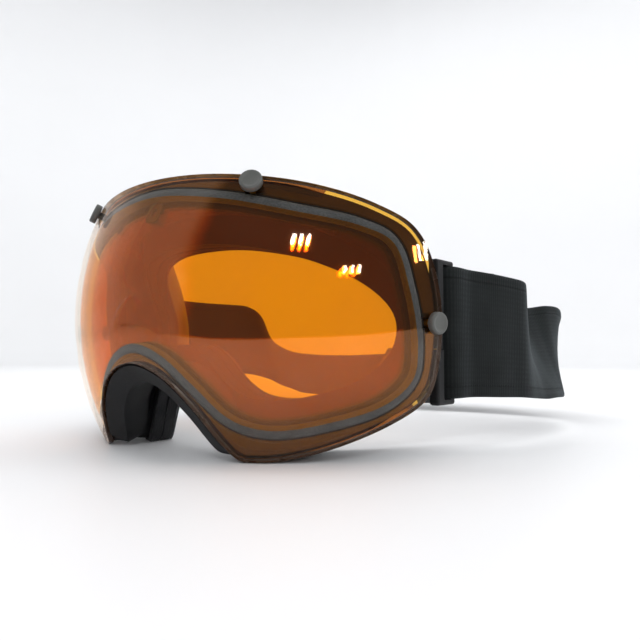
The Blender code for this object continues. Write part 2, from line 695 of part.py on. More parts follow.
def build_band(word, side, outer):
    """The elastic band from an end loop round the back, lying over or under the other band where they overlap."""
    line = strap_line(side)
    total = line_length(line)
    start = LOOP_LENGTH + STRAP_CUT
    stations = resample(line, np.linspace(start, total, 26))
    far_x = -side * OVERLAP_END
    back = np.array([[x, STRAP_BACK_Y, STRAP_BACK_Z + STRAP_BACK_SLOPE * x, math.degrees(STRAP_BACK_LEAN)]
                     for x in np.linspace(stations[-1, 0], far_x, 8)[1:]])
    stations = np.vstack([stations, back])
    turn_in = smooth_step((OVERLAP_START - np.abs(stations[:, 0])) / 25.0)
    turn_in[stations[:, 1] < 110] = 0.0
    layer = (STRAP_THICKNESS + STRAP_LAYER_GAP) / 2 * (1 if outer else -1)
    return add_part(f"strap_band_{word}", skin(ribbon(stations, layer * turn_in, side), wrap=False), "strap")


def build_slider(word, side):
    """A ladder adjuster: two rails over the strap's edges, two bars behind it and one in front."""
    height, depth = SLIDER_WINDOW
    rail_size = (SLIDER_LENGTH, depth + 2 * SLIDER_BAR[1], SLIDER_RAIL)
    reach = (height + SLIDER_RAIL) / 2
    name = f"strap_slider_{word}"
    obj = add_part(name, round_box(rail_size, 0.6), "slider")
    obj.data.transform(Matrix.Translation((0, 0, reach * MM)))
    bar_y = (depth + SLIDER_BAR[1]) / 2
    pieces = [("rail", rail_size, (0, 0, -reach))]
    for x, y in ((-SLIDER_BAR_X, -bar_y), (SLIDER_BAR_X, -bar_y), (0, bar_y)):
        pieces.append(("bar", (SLIDER_BAR[0], SLIDER_BAR[1], 2 * reach + 1.0), (x, y, 0)))
    across = Vector((0, math.sin(STRAP_BACK_LEAN), math.cos(STRAP_BACK_LEAN)))
    along = Vector((1, 0, STRAP_BACK_SLOPE)).normalized()
    outward = across.cross(along).normalized()
    turn = Matrix((along, outward, along.cross(outward))).transposed().to_4x4()
    height_here = STRAP_BACK_Z + STRAP_BACK_SLOPE * side * SLIDER_X
    place = Vector(to_world((side * SLIDER_X, STRAP_BACK_Y, height_here)))
    for k, (kind, size, offset) in enumerate(pieces):
        mesh = round_box(size, 0.6 if kind == "rail" else 0.0)
        mesh.transform(Matrix.Translation(Vector(offset) * MM))
        helper = add_cutter(f"{kind}_{word}_{k}", mesh)
        helper.matrix_world = Matrix.Translation(place) @ turn
        boolean(obj, helper, "UNION")
    obj.matrix_world = Matrix.Translation(place) @ turn
    return obj


# ---------------------------------------------------------------- assembly

def parent_to_empty(name, point, parts):
    """An empty on a joint, with the parts that move on it."""
    empty = bpy.data.objects.new(name, None)
    empty.location = point
    PARTS.objects.link(empty)
    for obj in parts:
        obj.parent = empty
        obj.matrix_parent_inverse = Matrix.Translation(-Vector(point))


def main():
    lens_parts = build_lenses()
    for name, side, place in stud_places():
        lens_parts.append(build_stud(f"lens_stud_{name}", side, place))
    parent_to_empty("lens_release", to_world((0, -LENS_RADIUS_H, 0)), lens_parts)
    build_frame()
    build_vent_foams()
    build_face_foam()
    for word, side in (("left", 1), ("right", -1)):
        outrigger, _ = build_outrigger(word, side)
        loop = build_end_loop(word, side)
        hinge = to_world((side * HINGE_X, HINGE_Y, 0))
        parent_to_empty(f"outrigger_hinge_{word}", hinge, [outrigger, loop])
        build_band(word, side, outer=side > 0)
        build_slider(word, side)


clear_scene()
PARTS = new_collection("ski_goggles")
CUTTERS = new_collection("cutters")
main()
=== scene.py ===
"""Visual model of the ski goggles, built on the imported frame.

Shapes are worked out in millimetres in the lens's own frame, as in the part's source. to_world() turns them
to metres. The front faces -Y, +X is the wearer's left and +Z is up.
"""

import math

import bmesh
import bpy
import numpy as np
from mathutils import Matrix, Vector


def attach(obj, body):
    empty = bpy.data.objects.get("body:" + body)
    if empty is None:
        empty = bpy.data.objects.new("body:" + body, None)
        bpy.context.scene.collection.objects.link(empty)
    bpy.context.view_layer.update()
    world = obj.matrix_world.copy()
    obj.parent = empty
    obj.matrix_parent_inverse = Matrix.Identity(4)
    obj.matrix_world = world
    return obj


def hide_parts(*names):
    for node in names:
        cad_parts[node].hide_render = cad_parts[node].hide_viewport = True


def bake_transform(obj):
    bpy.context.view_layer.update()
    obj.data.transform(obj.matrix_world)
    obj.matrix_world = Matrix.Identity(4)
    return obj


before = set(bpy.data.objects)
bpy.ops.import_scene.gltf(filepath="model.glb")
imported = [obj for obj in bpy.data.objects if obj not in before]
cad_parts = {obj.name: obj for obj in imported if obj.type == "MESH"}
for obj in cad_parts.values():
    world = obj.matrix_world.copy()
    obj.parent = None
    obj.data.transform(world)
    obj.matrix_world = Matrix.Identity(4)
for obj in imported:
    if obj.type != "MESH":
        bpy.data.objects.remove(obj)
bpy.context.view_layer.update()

MM = 0.001
LENS_HEIGHT = 53.2       # centre of the lens above the surface that the goggles stand on
DEPTH_SHIFT = -42.445    # puts the origin under the middle of the whole object
SIDES = (("left", 1), ("right", -1))
GAP = 0.35               # running and assembly gap between touching solids

# Lens: a toric shell, curved more from side to side than from top to bottom.
LENS_RADIUS_H = 94.8
LENS_RADIUS_V = 111.3
LENS_THICKNESS = 2.0
LENS_MIDDLE = np.array([0.0, 6.0])
LENS_SCALES = (0.97, 0.93, 0.87, 0.79, 0.69, 0.57, 0.44, 0.3, 0.15)   # rows from the edge in to the middle
LENS_ROUND = 0.3
INNER_LENS_REACH = 2.3   # from the gasket's line to the edge of the inner lens
INNER_LENS_DEPTHS = (6.1, 7.1)
INNER_LENS_ROUND = 0.2
BRIGHT_EDGE = (2.3, 7.4)  # knots between which light comes through the lens's overhanging edge; outside them the back's edge gets painted shade
FRONT, CUT, BACK, BOND, SHADED_RIM = range(5)   # a lens's material slots; the last holds painted shade on the back's edge

# Outlines are half outlines, from the middle of the brow round the wearer's left to the middle of the nose.
# The lens ones hold (degrees round the lens, height), the face ones (sideways, height). Their knots match in
# pairs.
LENS_EDGE = (
    (0, 46.4), (20, 45.2), (40, 41.4), (56, 35.2), (66, 27.0), (70.2, 8), (71.2, -18), (69.4, -32),
    (60, -41), (45, -49.2), (32, -53), (25, -52.8), (20.5, -46.4), (14.8, -34.2), (8, -24.2), (0, -20),
)
GASKET_LINE = (
    (0, 42), (19, 38.8), (37, 33.2), (52, 29), (60.3, 23), (63.5, 7), (66.2, -14), (65.6, -27),
    (58, -36.5), (45, -42), (34.5, -44.4), (27, -43.2), (21, -38.6), (14.5, -28.5), (7.5, -18.9), (0, -15),
)
FACE_OUTER = (
    (0, 41), (25, 40.2), (47, 35.5), (63, 26), (72, 13), (76.5, -3), (75.5, -20), (68, -36),
    (54, -46.5), (42, -51.6), (33, -53.2), (26.5, -53.2), (22.2, -45), (18, -33), (9.5, -25.4), (0, -23.5),
)
FACE_INNER = (
    (0, 25), (20, 24), (40, 20), (55, 13.5), (64, 5), (67.5, -5), (65.5, -17), (58, -26.5),
    (47, -31.5), (36, -33.3), (27, -32), (20.5, -28), (15.5, -23), (11, -18), (5.5, -14.2), (0, -13),
)
KNOTS = len(LENS_EDGE) - 1
FINE = 2
RING = np.arange(120 * FINE) * 2 * KNOTS / (120 * FINE)

# Gasket: a strip with a rounded square section.
GASKET_HALF = 1.75
GASKET_DEPTHS = (LENS_THICKNESS + 0.4, 5.8)
GASKET_SQUARENESS = 0.35  # 1 for a round section, less for a squarer one
GASKET_STEP = 30

# Face side: the foam's rear surface wraps round the face.
FACE_REAR_Y = -52.0
FACE_WRAP = 47.0
FACE_HALF_WIDTH = 68.0
FACE_POWER = 2.4
FOAM_DEPTH = 13.5
FLANGE_THICKNESS = 2.2
FOAM_RIPPLE = 0.06
FOAM_RIPPLE_WAVES = (0.9, 1.1)
# The way round a foam ring's section: share of the way in, far side or not, and the (inwards, forwards) steps
# that round the corner.
FOAM_WALK = (
    (0, True, ((0, -1), (0.3, -0.3), (1, 0))),
    (0.5, True, ((0, 0),)),
    (1, True, ((1, 0), (0.3, -0.3), (0, -1))),
    (1, False, ((0, 1), (0.3, 0.3), (1, 0))),
    (0.5, False, ((0, 0),)),
    (0, False, ((1, 0), (0.3, 0.3), (0, 1))),
)
# Node, slot, fill and (nearest, farthest, corner radius, fall of the edges), measured from the rear surface.
FACE_LAYERS = (
    ("face_foam_base", "face_foam", 0.95, (8.0, FOAM_DEPTH - GAP, 0.8, 0.0)),
    ("face_foam_soft", "face_foam", 0.9, (1.5, 6.9, 0.9, 0.9)),
    ("face_fleece", "fleece", 0.9, (0.1, 1.1, 0.35, 0.9)),
)

# Frame section in (inset from the lens edge, depth): plain rim, and the lip that rolls out round the nose.
# Ramps are (start, length), in knots or as a share of the roll.
SEAT_DEPTHS = (7.45, 9.3)
SEAT_ROOM = 0.45
RIM_PLAIN = ((2.0, 2.4), (1.9, 2.7), (1.8, 6.0), (2.2, 8.5))
RIM_NOSE = ((-0.1, 2.75), (-0.9, 1.0), (-7.6, 5.0), (-8.0, 8.5))
RIM_CLOSE = 1.6          # how much nearer the lens's edge the rim comes at the brow and under the cheeks
RIM_CLOSE_SIDES = 0.4    # share of that at the sides
BROW_RAMP = (1.7, 0.6)
CHEEK_RAMP = (7.9, 0.4)
NOSE_RAMP = (10.5, 1.5)  # where the lip rolls out
LIP_RISE = (0.7, 0.3)
WALL_INSET_PLAIN = 4.5
WALL_INSET_NOSE = 1.0
FLANGE_INSET = 2.2
WALL_THICKNESS = 2.0

# Space behind the outer lens that is kept clear of the studs' bosses.
POCKET_ROOM = 0.8
POCKET_DEPTHS = (1.0, 7.85)
POCKET_SCALES = (0.1, 0.5, 0.82, 1.0)

# Studs: (degrees round the lens, height)
STUD_PLACES = {"brow": (27.6, 40.4), "temple": (68.5, -5.6)}
STUD_CAP_RADIUS = 3.95
STUD_CAP_HEIGHT = 2.5
STUD_CAP_GAP = 0.2
STUD_SHAFT_RADIUS = 1.5
STUD_SHAFT_DEPTH = 6.4
STUD_DISH = ((0, 0.42), (1.0, 0.40), (2.0, 0.33), (2.75, 0.22), (3.0, 0.08), (3.2, 0))   # (radius, below top)
STUD_RIM = ((0.45, 0.02), (0.2, 0.12), (0.06, 0.32), (0, 0.6))   # (in from the cap's side, below top)
STUD_UNDERSIDE = ((0, 0.25), (0.2, 0.02), (0.5, 0))   # (in from the cap's side, above the underside)
STUD_HOLE_RADIUS = 1.9
STUD_HOLE_DEPTHS = (2, STUD_SHAFT_DEPTH + 0.4)
RELEASE_SWEEP = 9.0      # how far forwards a stud's hole is opened, so that its shaft can leave
BOSS_RADIUS = 3.4
BOSS_DEPTHS = (2.5, 8.8)

# Knuckles and vertical pins that the strap carriers swing on.
HINGE_X = 83.6
HINGE_Y = -21.5
KNUCKLE_Z = (-14.3, -1.7)
KNUCKLE_RADIUS = 2.5
KNUCKLE_ROOT_X = 78.0    # where its web grows out of the frame's wall
KNUCKLE_ROOT_SIZE = (2.0, 4.2)
PIN_RADIUS = 1.25
PIN_BORE = 1.35
PIN_BORE_Z = (-20, 5)
PIN_Z = (-24.0, 19.0)
PIN_TOP = ((0.35, 0.02), (0.1, 0.15), (0, 0.4))   # (in from its side, below its end)
SHAFT_TIP = ((0, 0.4), (0.3, 0))   # of a pin or a stud: (in from its side, above its lower end)

# Strap: its middle line as (x, y, height of the middle, lean of the width away from the vertical in degrees).
STRAP_WIDTH = 50.0
STRAP_THICKNESS = 1.5
STRAP_LAYER_GAP = 0.5
STRAP_LEFT = (
    (85.3, -13.5, -8, 0), (91.6, -0.5, -8.3, 0), (98.3, 13.4, -8.8, 0), (104.6, 30.2, -9.8, 0),
    (102.3, 47, -11.6, -10), (99, 61, -14, -22), (99, 76, -14.8, -26), (101.5, 91, -14.5, -20),
    (104, 105, -13.9, -9), (101, 124, -15, 8), (86, 144, -21, 34), (60, 154, -27.29, 55),
)
STRAP_RIGHT = (
    (-85.3, -13.5, -8, 0), (-91.6, -0.5, -8, 0), (-98, 13, -7.8, 0), (-103.4, 30, -7.6, 0),
    (-106.8, 55, -7, 0), (-108.1, 80, -6, 0), (-106.5, 99, -6, 3), (-101, 112, -11, 18),
    (-96, 121, -21, 40), (-89, 133, -28.5, 50), (-77, 147.5, -31.8, 54), (-60, 154, -32.21, 55),
)
STRAP_STEPS = 12
STRAP_RUN_STEP = 2.0
STRAP_BACK_Y = 154.0
STRAP_BACK_Z = -29.75
STRAP_BACK_SLOPE = 0.041
STRAP_BACK_LEAN = math.radians(55)
STRAP_BACK_STEP = 22.0
STRAP_BACK_STATIONS = 40
LOOP_RADIUS = 3.6        # of the fold that wraps round the outrigger's bar
LOOP_LENGTH = 28.0
LOOP_SPREAD = 13.0
LOOP_STATIONS = 24
LOOP_FOLD_STEP = 9
LOOP_JOIN = (0.5, 1.5)   # room left before and behind the loop's end
LOOP_MERGE = 14.0        # length over which the band comes back to the middle line
OVERLAP_START = 92.0     # where a band starts to step aside for the other one
OVERLAP_LENGTH = 25.0
OVERLAP_FROM_Y = 110
OVERLAP_END = 44.0       # the two bands lie on each other between the adjusters
# Half of a band's section: (place across from edge to middle, share of the half thickness).
BAND_HALF = ((-1.0, 0.0), (-0.985, 0.62), (-0.95, 0.93), (-0.9, 1.0), (-0.82, 1.0), (-0.6, 0.97),
             (-0.35, 0.96), (-0.1, 0.96))

# Vents: stretches of the frame's wall, as knots along the outline, on the wearer's left.
TOP_VENTS = ((0.25, 1.05), (1.4, 2.2))
BOTTOM_VENTS = ((8.1, 8.65), (8.95, 9.5))
VENT_SPAN = (0.25, 0.75)
VENT_REACH = 2.5
VENT_STEPS = 4
VENT_FOAM_SPAN = (0.14, 0.86)
VENT_FOAM_REACH = 2.2
TOP_FOAM_REACH = 2.45
BOTTOM_FOAM = (7.9, 9.7)

# Broken edges and webbing, in metres.
FOAM_BEVEL = 0.0006
CARRIER_BEVEL = 0.0004
SLIDER_BEVEL = 0.0003
RIB_PITCH = 0.00125
RIB_WOBBLE = 0.0006
WARP_PITCH = 0.0021
SEAM_PLACE = 0.0205      # from the middle of the band to the groove by its edge
SEAM_HALF = 0.0007

# The way that the lens's cut edge faces where its painted glow is brightest.
PAINTED_GLOW_WAY = (0.55, 0.1, 0.83)

# Studio, in metres.
STUDIO_TURN = math.radians(32.3)
TABLE_HALF = 3.0
TABLE_FRONT = -0.36      # what is nearer than this isn't seen in the lens
WALL_FOOT = 1.7
WALL_BEND = 0.5
WALL_TOP = 3.4
WORLD_BRIGHT_WAY = (-0.951, 0.309, 0.0)
WORLD_TO_CAMERA = 0.86
SOFT_LIGHTS = (          # name, place, aim, size, power
    ("overhead", (-0.2, 0.25, 1.9), (0, 0.15, 0), (2.4, 2.0), 23),
    ("front_fill", (0.8, -1.15, 1.1), (0, 0, 0.04), (1.2, 0.9), 5),
    ("wall_wash", (-0.1, 0.15, 1.7), (-1.1, 1.85, 0.9), (2.6, 1.6), 18),
)
LAMPS = (                # name, azimuth, elevation, degrees between tubes, size, power
    ("lamp_near", 42.5, 32.5, 4.2, (0.05, 0.17), 1.7),
    ("lamp_middle", 69.0, 19.5, 4.0, (0.05, 0.12), 1.0),
    ("lamp_far", 117.0, 24.0, 4.5, (0.06, 0.22), 1.5),
)
LAMP_AIM = (0.06, -0.11, 0.07)
LAMP_DISTANCE = 2.0
LAMP_SLANT = math.radians(-18)

CAMERA_PLACE = (0.156255, -0.259897, 0.036353)
CAMERA_AXES = ((0.84538, 0.53416, 0.00348), (0.03116, -0.05582, 0.99795), (0.53326, -0.84354, -0.06384))
CAMERA_SENSOR = 36.0
CAMERA_LENS = 30.853


# ---------------- outlines and surfaces

def to_world(points):
    """Lens-frame millimetres to world metres."""
    shift = np.array([0.0, DEPTH_SHIFT, LENS_HEIGHT])
    return (np.asarray(points, float) + shift) * MM


def smooth_step(value):
    value = np.clip(value, 0.0, 1.0)
    return value * value * (3 - 2 * value)


def eased(value, ramp):
    start, length = ramp
    return smooth_step((value - start) / length)


def spline(a, b, c, d, t):
    """A smooth curve from b to c, whose neighbours are a and d."""
    return 0.5 * (2 * b + (c - a) * t + (2 * a - 5 * b + 4 * c - d) * t ** 2
                  + (3 * b - a - 3 * c + d) * t ** 3)


def trace(half, places):
    """Points on the closed smooth outline whose half is given, kept above the surface that the goggles stand
    on. Places run 0..2*KNOTS round it, and wrap."""
    right = [np.array(p, float) for p in half]
    mirror = np.array([-1.0, 1.0])
    loop = right + [p * mirror for p in right[-2:0:-1]]
    points = []
    for place in np.atleast_1d(places):
        base = math.floor(place)
        near = (loop[(base + k) % len(loop)] for k in (-1, 0, 1, 2))
        points.append(spline(*near, place - base))
    points = np.array(points)
    points[:, 1] = np.maximum(points[:, 1], -LENS_HEIGHT)
    return points


def lens_trace(half, places):
    """The same for an outline on the lens, with its angles turned to millimetres round the lens."""
    points = trace(half, places)
    points[:, 0] *= math.radians(1) * LENS_RADIUS_H
    return points


def inset(tracer, half, places, distance):
    """The outline moved inwards by a distance, or one for each place."""
    step = 0.02
    points = tracer(half, places)
    along = tracer(half, np.asarray(places) + step) - tracer(half, np.asarray(places) - step)
    along /= np.linalg.norm(along, axis=1)[:, None]
    inward = np.stack([along[:, 1], -along[:, 0]], axis=1)
    return points + inward * np.reshape(distance, (-1, 1))


def on_lens(points, depth):
    """(along the lens, height) to 3-D, a depth below the lens's outer surface."""
    depth = np.broadcast_to(np.asarray(depth, float), len(points))
    turn = points[:, 0] / LENS_RADIUS_H
    rise = np.arcsin(points[:, 1] / LENS_RADIUS_V)
    radius = LENS_RADIUS_H - LENS_RADIUS_V + (LENS_RADIUS_V - depth) * np.cos(rise)
    height = (LENS_RADIUS_V - depth) * np.sin(rise)
    return np.stack([radius * np.sin(turn), -radius * np.cos(turn), height], axis=1)


def towards_middle(points, scale):
    return LENS_MIDDLE + (points - LENS_MIDDLE) * scale


def face_rear(x):
    return FACE_REAR_Y + FACE_WRAP * (np.abs(x) / FACE_HALF_WIDTH) ** FACE_POWER


def on_face(points, forward):
    """(sideways, height) to 3-D, a distance in front of the foam's rear surface."""
    return np.stack([points[:, 0], face_rear(points[:, 0]) - forward, points[:, 1]], axis=1)


def mirrored_place(places):
    """Knot number counted on the half outline, for places on either side."""
    places = np.mod(places, 2 * KNOTS)
    return np.minimum(places, 2 * KNOTS - places)


# ---------------- meshes

def to_mesh(bm, name):
    mesh = bpy.data.meshes.new(name)
    bm.to_mesh(mesh)
    bm.free()
    return mesh


def closed_mesh(name, verts, faces, split=False):
    """A mesh whose faces point outwards. split cuts its quads across their shorter diagonal, so that
    neighbouring surfaces that run alongside each other are cut alike."""
    mesh = bpy.data.meshes.new(name)
    mesh.from_pydata(verts, [], faces)
    bm = bmesh.new()
    bm.from_mesh(mesh)
    if split:
        bmesh.ops.triangulate(bm, faces=bm.faces, quad_method="SHORT_EDGE")
    bmesh.ops.recalc_face_normals(bm, faces=bm.faces)
    if bm.calc_volume(signed=True) < 0:
        bmesh.ops.reverse_faces(bm, faces=bm.faces)
    bm.to_mesh(mesh)
    bm.free()
    return mesh


def quads(rows, wrap=True, split=False):
    """A closed mesh through rings of points. wrap joins the last ring to the first. Otherwise the end rings
    are filled by fans."""
    rows = [to_world(row) for row in rows]
    count = len(rows[0])
    verts = [tuple(p) for row in rows for p in row]
    faces = []
    for r in range(len(rows) if wrap else len(rows) - 1):
        low, high = r * count, ((r + 1) % len(rows)) * count
        for k in range(count):
            n = (k + 1) % count
            faces.append((low + k, low + n, high + n, high + k))
    if not wrap:
        for start in (0, (len(rows) - 1) * count):
            middle = len(verts)
            verts.append(tuple(np.mean(verts[start:start + count], axis=0)))
            for k in range(count):
                faces.append((start + k, start + (k + 1) % count, middle))
    return closed_mesh("quads", verts, faces, split)


def box(size):
    """A box in millimetres about its own middle."""
    bm = bmesh.new()
    bmesh.ops.create_cube(bm, size=MM)
    bmesh.ops.scale(bm, vec=size, verts=bm.verts)
    return to_mesh(bm, "box")


def rod(radius, start, end, segments=40):
    """A cylinder in world metres between two lens-frame points."""
    low, high = (Vector(to_world(p)) for p in (start, end))
    direction = high - low
    bm = bmesh.new()
    bmesh.ops.create_cone(bm, cap_ends=True, segments=segments, radius1=radius * MM, radius2=radius * MM,
                          depth=direction.length)
    turn = direction.to_track_quat("Z", "Y").to_matrix().to_4x4()
    bmesh.ops.transform(bm, matrix=Matrix.Translation((low + high) / 2) @ turn, verts=bm.verts)
    return to_mesh(bm, "rod")


def hull_of(meshes):
    """The convex hull of several meshes."""
    bm = bmesh.new()
    for mesh in meshes:
        bm.from_mesh(mesh)
    made = bmesh.ops.convex_hull(bm, input=bm.verts)
    spare = [v for v in made["geom_interior"] + made["geom_unused"] if isinstance(v, bmesh.types.BMVert)]
    bmesh.ops.delete(bm, geom=spare, context="VERTS")
    inner = [f for f in bm.faces if f not in set(made["geom"])]
    bmesh.ops.delete(bm, geom=inner, context="FACES_ONLY")
    bmesh.ops.recalc_face_normals(bm, faces=bm.faces)
    return to_mesh(bm, "hull")


def turned(profile, point, outward, steps=48):
    """A closed solid turned from (radius, height) points that start and end on the axis."""
    turn = Vector(outward).to_track_quat("Z", "Y").to_matrix()
    verts = []
    rings = []
    for radius, height in profile:
        ring = []
        for k in range(1 if radius == 0 else steps):
            angle = 2 * math.pi * k / steps
            local = Vector((radius * math.cos(angle), radius * math.sin(angle), height)) * MM
            ring.append(len(verts))
            verts.append(Vector(to_world(point)) + turn @ local)
        rings.append(ring)
    faces = []
    for low, high in zip(rings, rings[1:]):
        for k in range(steps):
            n = k + 1
            quad = (low[k % len(low)], low[n % len(low)], high[n % len(high)], high[k % len(high)])
            faces.append(tuple(dict.fromkeys(quad)))
    return closed_mesh("turned", verts, faces)


# ---------------- materials

class Nodes:
    """A short way to write a node tree: put() adds a node, and links or sets its inputs by name."""

    def __init__(self, owner, output="OutputMaterial"):
        self.owner = owner
        owner.use_nodes = True
        self.tree = owner.node_tree
        self.tree.nodes.clear()
        self.output = self.put(output)

    def put(self, kind, settings=None, **inputs):
        """Inputs are named as in Blender with _ for a space, or numbered as _0, _1 and so on."""
        node = self.tree.nodes.new("ShaderNode" + kind)
        for key, value in (settings or {}).items():
            setattr(node, key, value)
        for key, value in inputs.items():
            by_number = key[1:].isdigit()
            self.feed(node.inputs[int(key[1:]) if by_number else key.replace("_", " ")], value)
        return node

    def feed(self, socket, value):
        if isinstance(value, bpy.types.NodeSocket):
            self.tree.links.new(value, socket)
        elif isinstance(value, bpy.types.Node):
            self.tree.links.new(value.outputs[0], socket)
        else:
            socket.default_value = value

    def place(self):
        return self.put("TexCoord").outputs["Object"]

    def noise(self, scale, detail=3.0, roughness=0.55):
        node = self.put("TexNoise", Scale=scale, Detail=detail, Roughness=roughness, Vector=self.place())
        return node.outputs["Fac"]

    def ramp(self, value, *stops):
        node = self.put("ValToRGB", Fac=value)
        for k, (at, colour) in enumerate(stops):
            stop = node.color_ramp.elements[k]
            stop.position = at
            stop.color = (*colour, 1.0)
        return node.outputs["Color"]

    def grey(self, value, low, high, start=0.3, end=0.7):
        """Maps start..end to low..high."""
        return self.put("MapRange", Value=value, _1=start, _2=end, _3=low, _4=high).outputs[0]

    def math(self, operation, a, b=0.0):
        return self.put("Math", {"operation": operation}, _0=a, _1=b).outputs[0]

    def facing(self, way, towards):
        return self.put("VectorMath", {"operation": "DOT_PRODUCT"}, _0=way, _1=towards).outputs["Value"]

    def bump(self, height, distance, strength=1.0, under=None):
        node = self.put("Bump", Height=height, Distance=distance, Strength=strength)
        if under is not None:
            self.feed(node.inputs["Normal"], under)
        return node.outputs["Normal"]

    def solid(self, **inputs):
        return self.finish(self.put("BsdfPrincipled", **inputs))

    def finish(self, shader):
        self.feed(self.output.inputs["Surface"], shader)
        return self.owner


def new_material(name):
    return Nodes(bpy.data.materials.new(name))


def moulded(name, dark, light, roughness, grain, depth, gloss=0.5):
    """Moulded plastic or rubber: fine spark-eroded grain, faint cloudiness in colour and gloss."""
    n = new_material(name)
    cloud = n.noise(55, 4)
    fine = n.noise(grain, 2, 0.7)
    rough = n.math("ADD", n.grey(cloud, roughness - 0.06, roughness + 0.06), n.grey(fine, -0.04, 0.04))
    return n.solid(Base_Color=n.ramp(cloud, (0.3, dark), (0.7, light)), Roughness=rough,
                   Normal=n.bump(fine, depth, 0.8, n.bump(cloud, depth * 2, 0.3)), Specular_IOR_Level=gloss)


def foam(name, dark, light, cell, depth):
    """Open-cell foam: small pits whose bottoms are darkened as painted shade."""
    n = new_material(name)
    cells = n.put("TexVoronoi", Scale=cell, Vector=n.place()).outputs["Distance"]
    # painted shade: colour darkens towards each pit's bottom, mixed with random tone
    mix = n.math("ADD", n.grey(cells, 0.0, 0.6, 0.0, 0.75), n.grey(n.noise(140, 3), 0.0, 0.4))
    return n.solid(Base_Color=n.ramp(mix, (0.1, dark), (0.9, light)), Roughness=0.95,
                   Normal=n.bump(cells, depth, 0.9), Sheen_Weight=0.12, Specular_IOR_Level=0.2)


def fleece(name, dark, light):
    """Brushed knit on the face side: short pile with a soft sheen."""
    n = new_material(name)
    pile = n.noise(1900, 4, 0.75)
    clumps = n.noise(260, 3)
    mix = n.math("ADD", n.grey(pile, 0, 0.5), n.grey(clumps, 0, 0.5))
    return n.solid(Base_Color=n.ramp(mix, (0.1, dark), (0.9, light)), Roughness=0.9,
                   Normal=n.bump(pile, 0.0004, 0.9, n.bump(clumps, 0.0005, 0.5)), Sheen_Weight=0.6,
                   Sheen_Roughness=0.4)


def webbing(name, dark, light):
    """Woven elastic: fine ribs across the band, warp lines along it, a groove by each edge, darkened as
    painted shade. Its UV map is in metres along the band and across it."""
    n = new_material(name)
    uv = n.put("UVMap", {"uv_map": "band"}).outputs["UV"]
    split = n.put("SeparateXYZ", Vector=uv)
    along, across = split.outputs["X"], split.outputs["Y"]
    wobble = n.math("MULTIPLY", n.noise(90, 2), RIB_WOBBLE)
    ribs = n.math("SINE", n.math("MULTIPLY", n.math("ADD", along, wobble), 2 * math.pi / RIB_PITCH))
    warp = n.math("SINE", n.math("MULTIPLY", across, 2 * math.pi / WARP_PITCH))
    weave = n.math("MULTIPLY", n.grey(ribs, 0.0, 1.0, -1, 1), n.grey(warp, 0.55, 1.0, -1, 1))
    seam = n.math("ABSOLUTE", n.math("SUBTRACT", n.math("ABSOLUTE", across), SEAM_PLACE))
    groove = n.grey(seam, 0.0, 1.0, 0.0, SEAM_HALF)
    fuzz = n.noise(2600, 3, 0.8)
    tone = n.math("ADD", n.grey(weave, 0.0, 0.32, 0, 1), n.grey(n.noise(38, 4), 0.05, 0.5))
    # painted shade: darkens the colour in the grooves by the edges
    tone = n.math("MULTIPLY", tone, n.grey(groove, 0.35, 1.0, 0, 1))
    height = n.math("ADD", n.math("MULTIPLY", weave, 0.7), n.math("MULTIPLY", fuzz, 0.3))
    return n.solid(Base_Color=n.ramp(tone, (0.05, dark), (0.95, light)), Roughness=n.grey(fuzz, 0.7, 0.9),
                   Normal=n.bump(height, 0.00013, 0.8, n.bump(groove, 0.0004, 0.7)), Sheen_Weight=0.12,
                   Sheen_Roughness=0.35, Sheen_Tint=(0.75, 0.88, 0.95, 1.0), Specular_IOR_Level=0.15)


def tinted(name, through, mirror, facing, grazing, far=(1.0, 0.55, 0.32), roughness=0.03):
    """A coated lens surface: clear tint mixed with a coloured mirror that takes over at glancing angles.
    facing and grazing are the mirror's share there, and far is its colour at glancing angles."""
    n = new_material(name)
    steep = n.math("POWER", n.put("LayerWeight", Blend=0.5).outputs["Facing"], 4.0)
    share = n.math("ADD", n.grey(steep, facing, grazing, 0, 1), n.grey(n.noise(22, 3), -0.012, 0.012))
    colour = n.put("MixRGB", Fac=steep, Color1=(*mirror, 1.0), Color2=(*far, 1.0)).outputs[0]
    smudge = n.grey(n.noise(160, 4, 0.7), roughness, roughness + 0.03)
    coat = n.put("BsdfPrincipled", Base_Color=colour, Metallic=1.0, Roughness=smudge)
    clear = n.put("BsdfTransparent", Color=(*through, 1.0))
    return n.finish(n.put("MixShader", _0=share, _1=clear, _2=coat))


def cut_edge(name, dark, bright):
    """The lens's cut edge: dark, with a painted glow where it faces up and to the wearer's left, standing in
    for light piped through the lens. A normal seen from behind comes flipped, and is turned back."""
    n = new_material(name)
    cloud = n.noise(120, 3)
    geometry = n.put("NewGeometry")
    facing = n.facing(geometry.outputs["Normal"], PAINTED_GLOW_WAY)
    facing = n.math("MULTIPLY", facing, n.grey(geometry.outputs["Backfacing"], 1.0, -1.0, 0, 1))
    painted_glow = n.math("MULTIPLY", n.grey(facing, 0.0, 1.0, 0.72, 0.97), n.grey(cloud, 0.35, 1.0))
    return n.solid(Base_Color=n.ramp(painted_glow, (0.0, dark), (0.85, bright)), Roughness=n.grey(cloud, 0.2, 0.35))


def metal(name, dark, light):
    n = new_material(name)
    fine = n.noise(1800, 3)
    return n.solid(Base_Color=n.ramp(fine, (0.3, dark), (0.7, light)), Metallic=1.0,
                   Roughness=n.grey(fine, 0.25, 0.4), Normal=n.bump(fine, 0.00003, 0.5))


def painted(name, colour, roughness):
    """A plain studio surface with faint cloudiness."""
    n = new_material(name)
    cloud = n.noise(3.0, 3)
    low = tuple(c * 0.985 for c in colour)
    return n.solid(Base_Color=n.ramp(cloud, (0.3, low), (0.7, colour)),
                   Roughness=n.grey(cloud, roughness - 0.03, roughness + 0.03),
                   Normal=n.bump(n.noise(900, 2), 0.00002, 0.3))


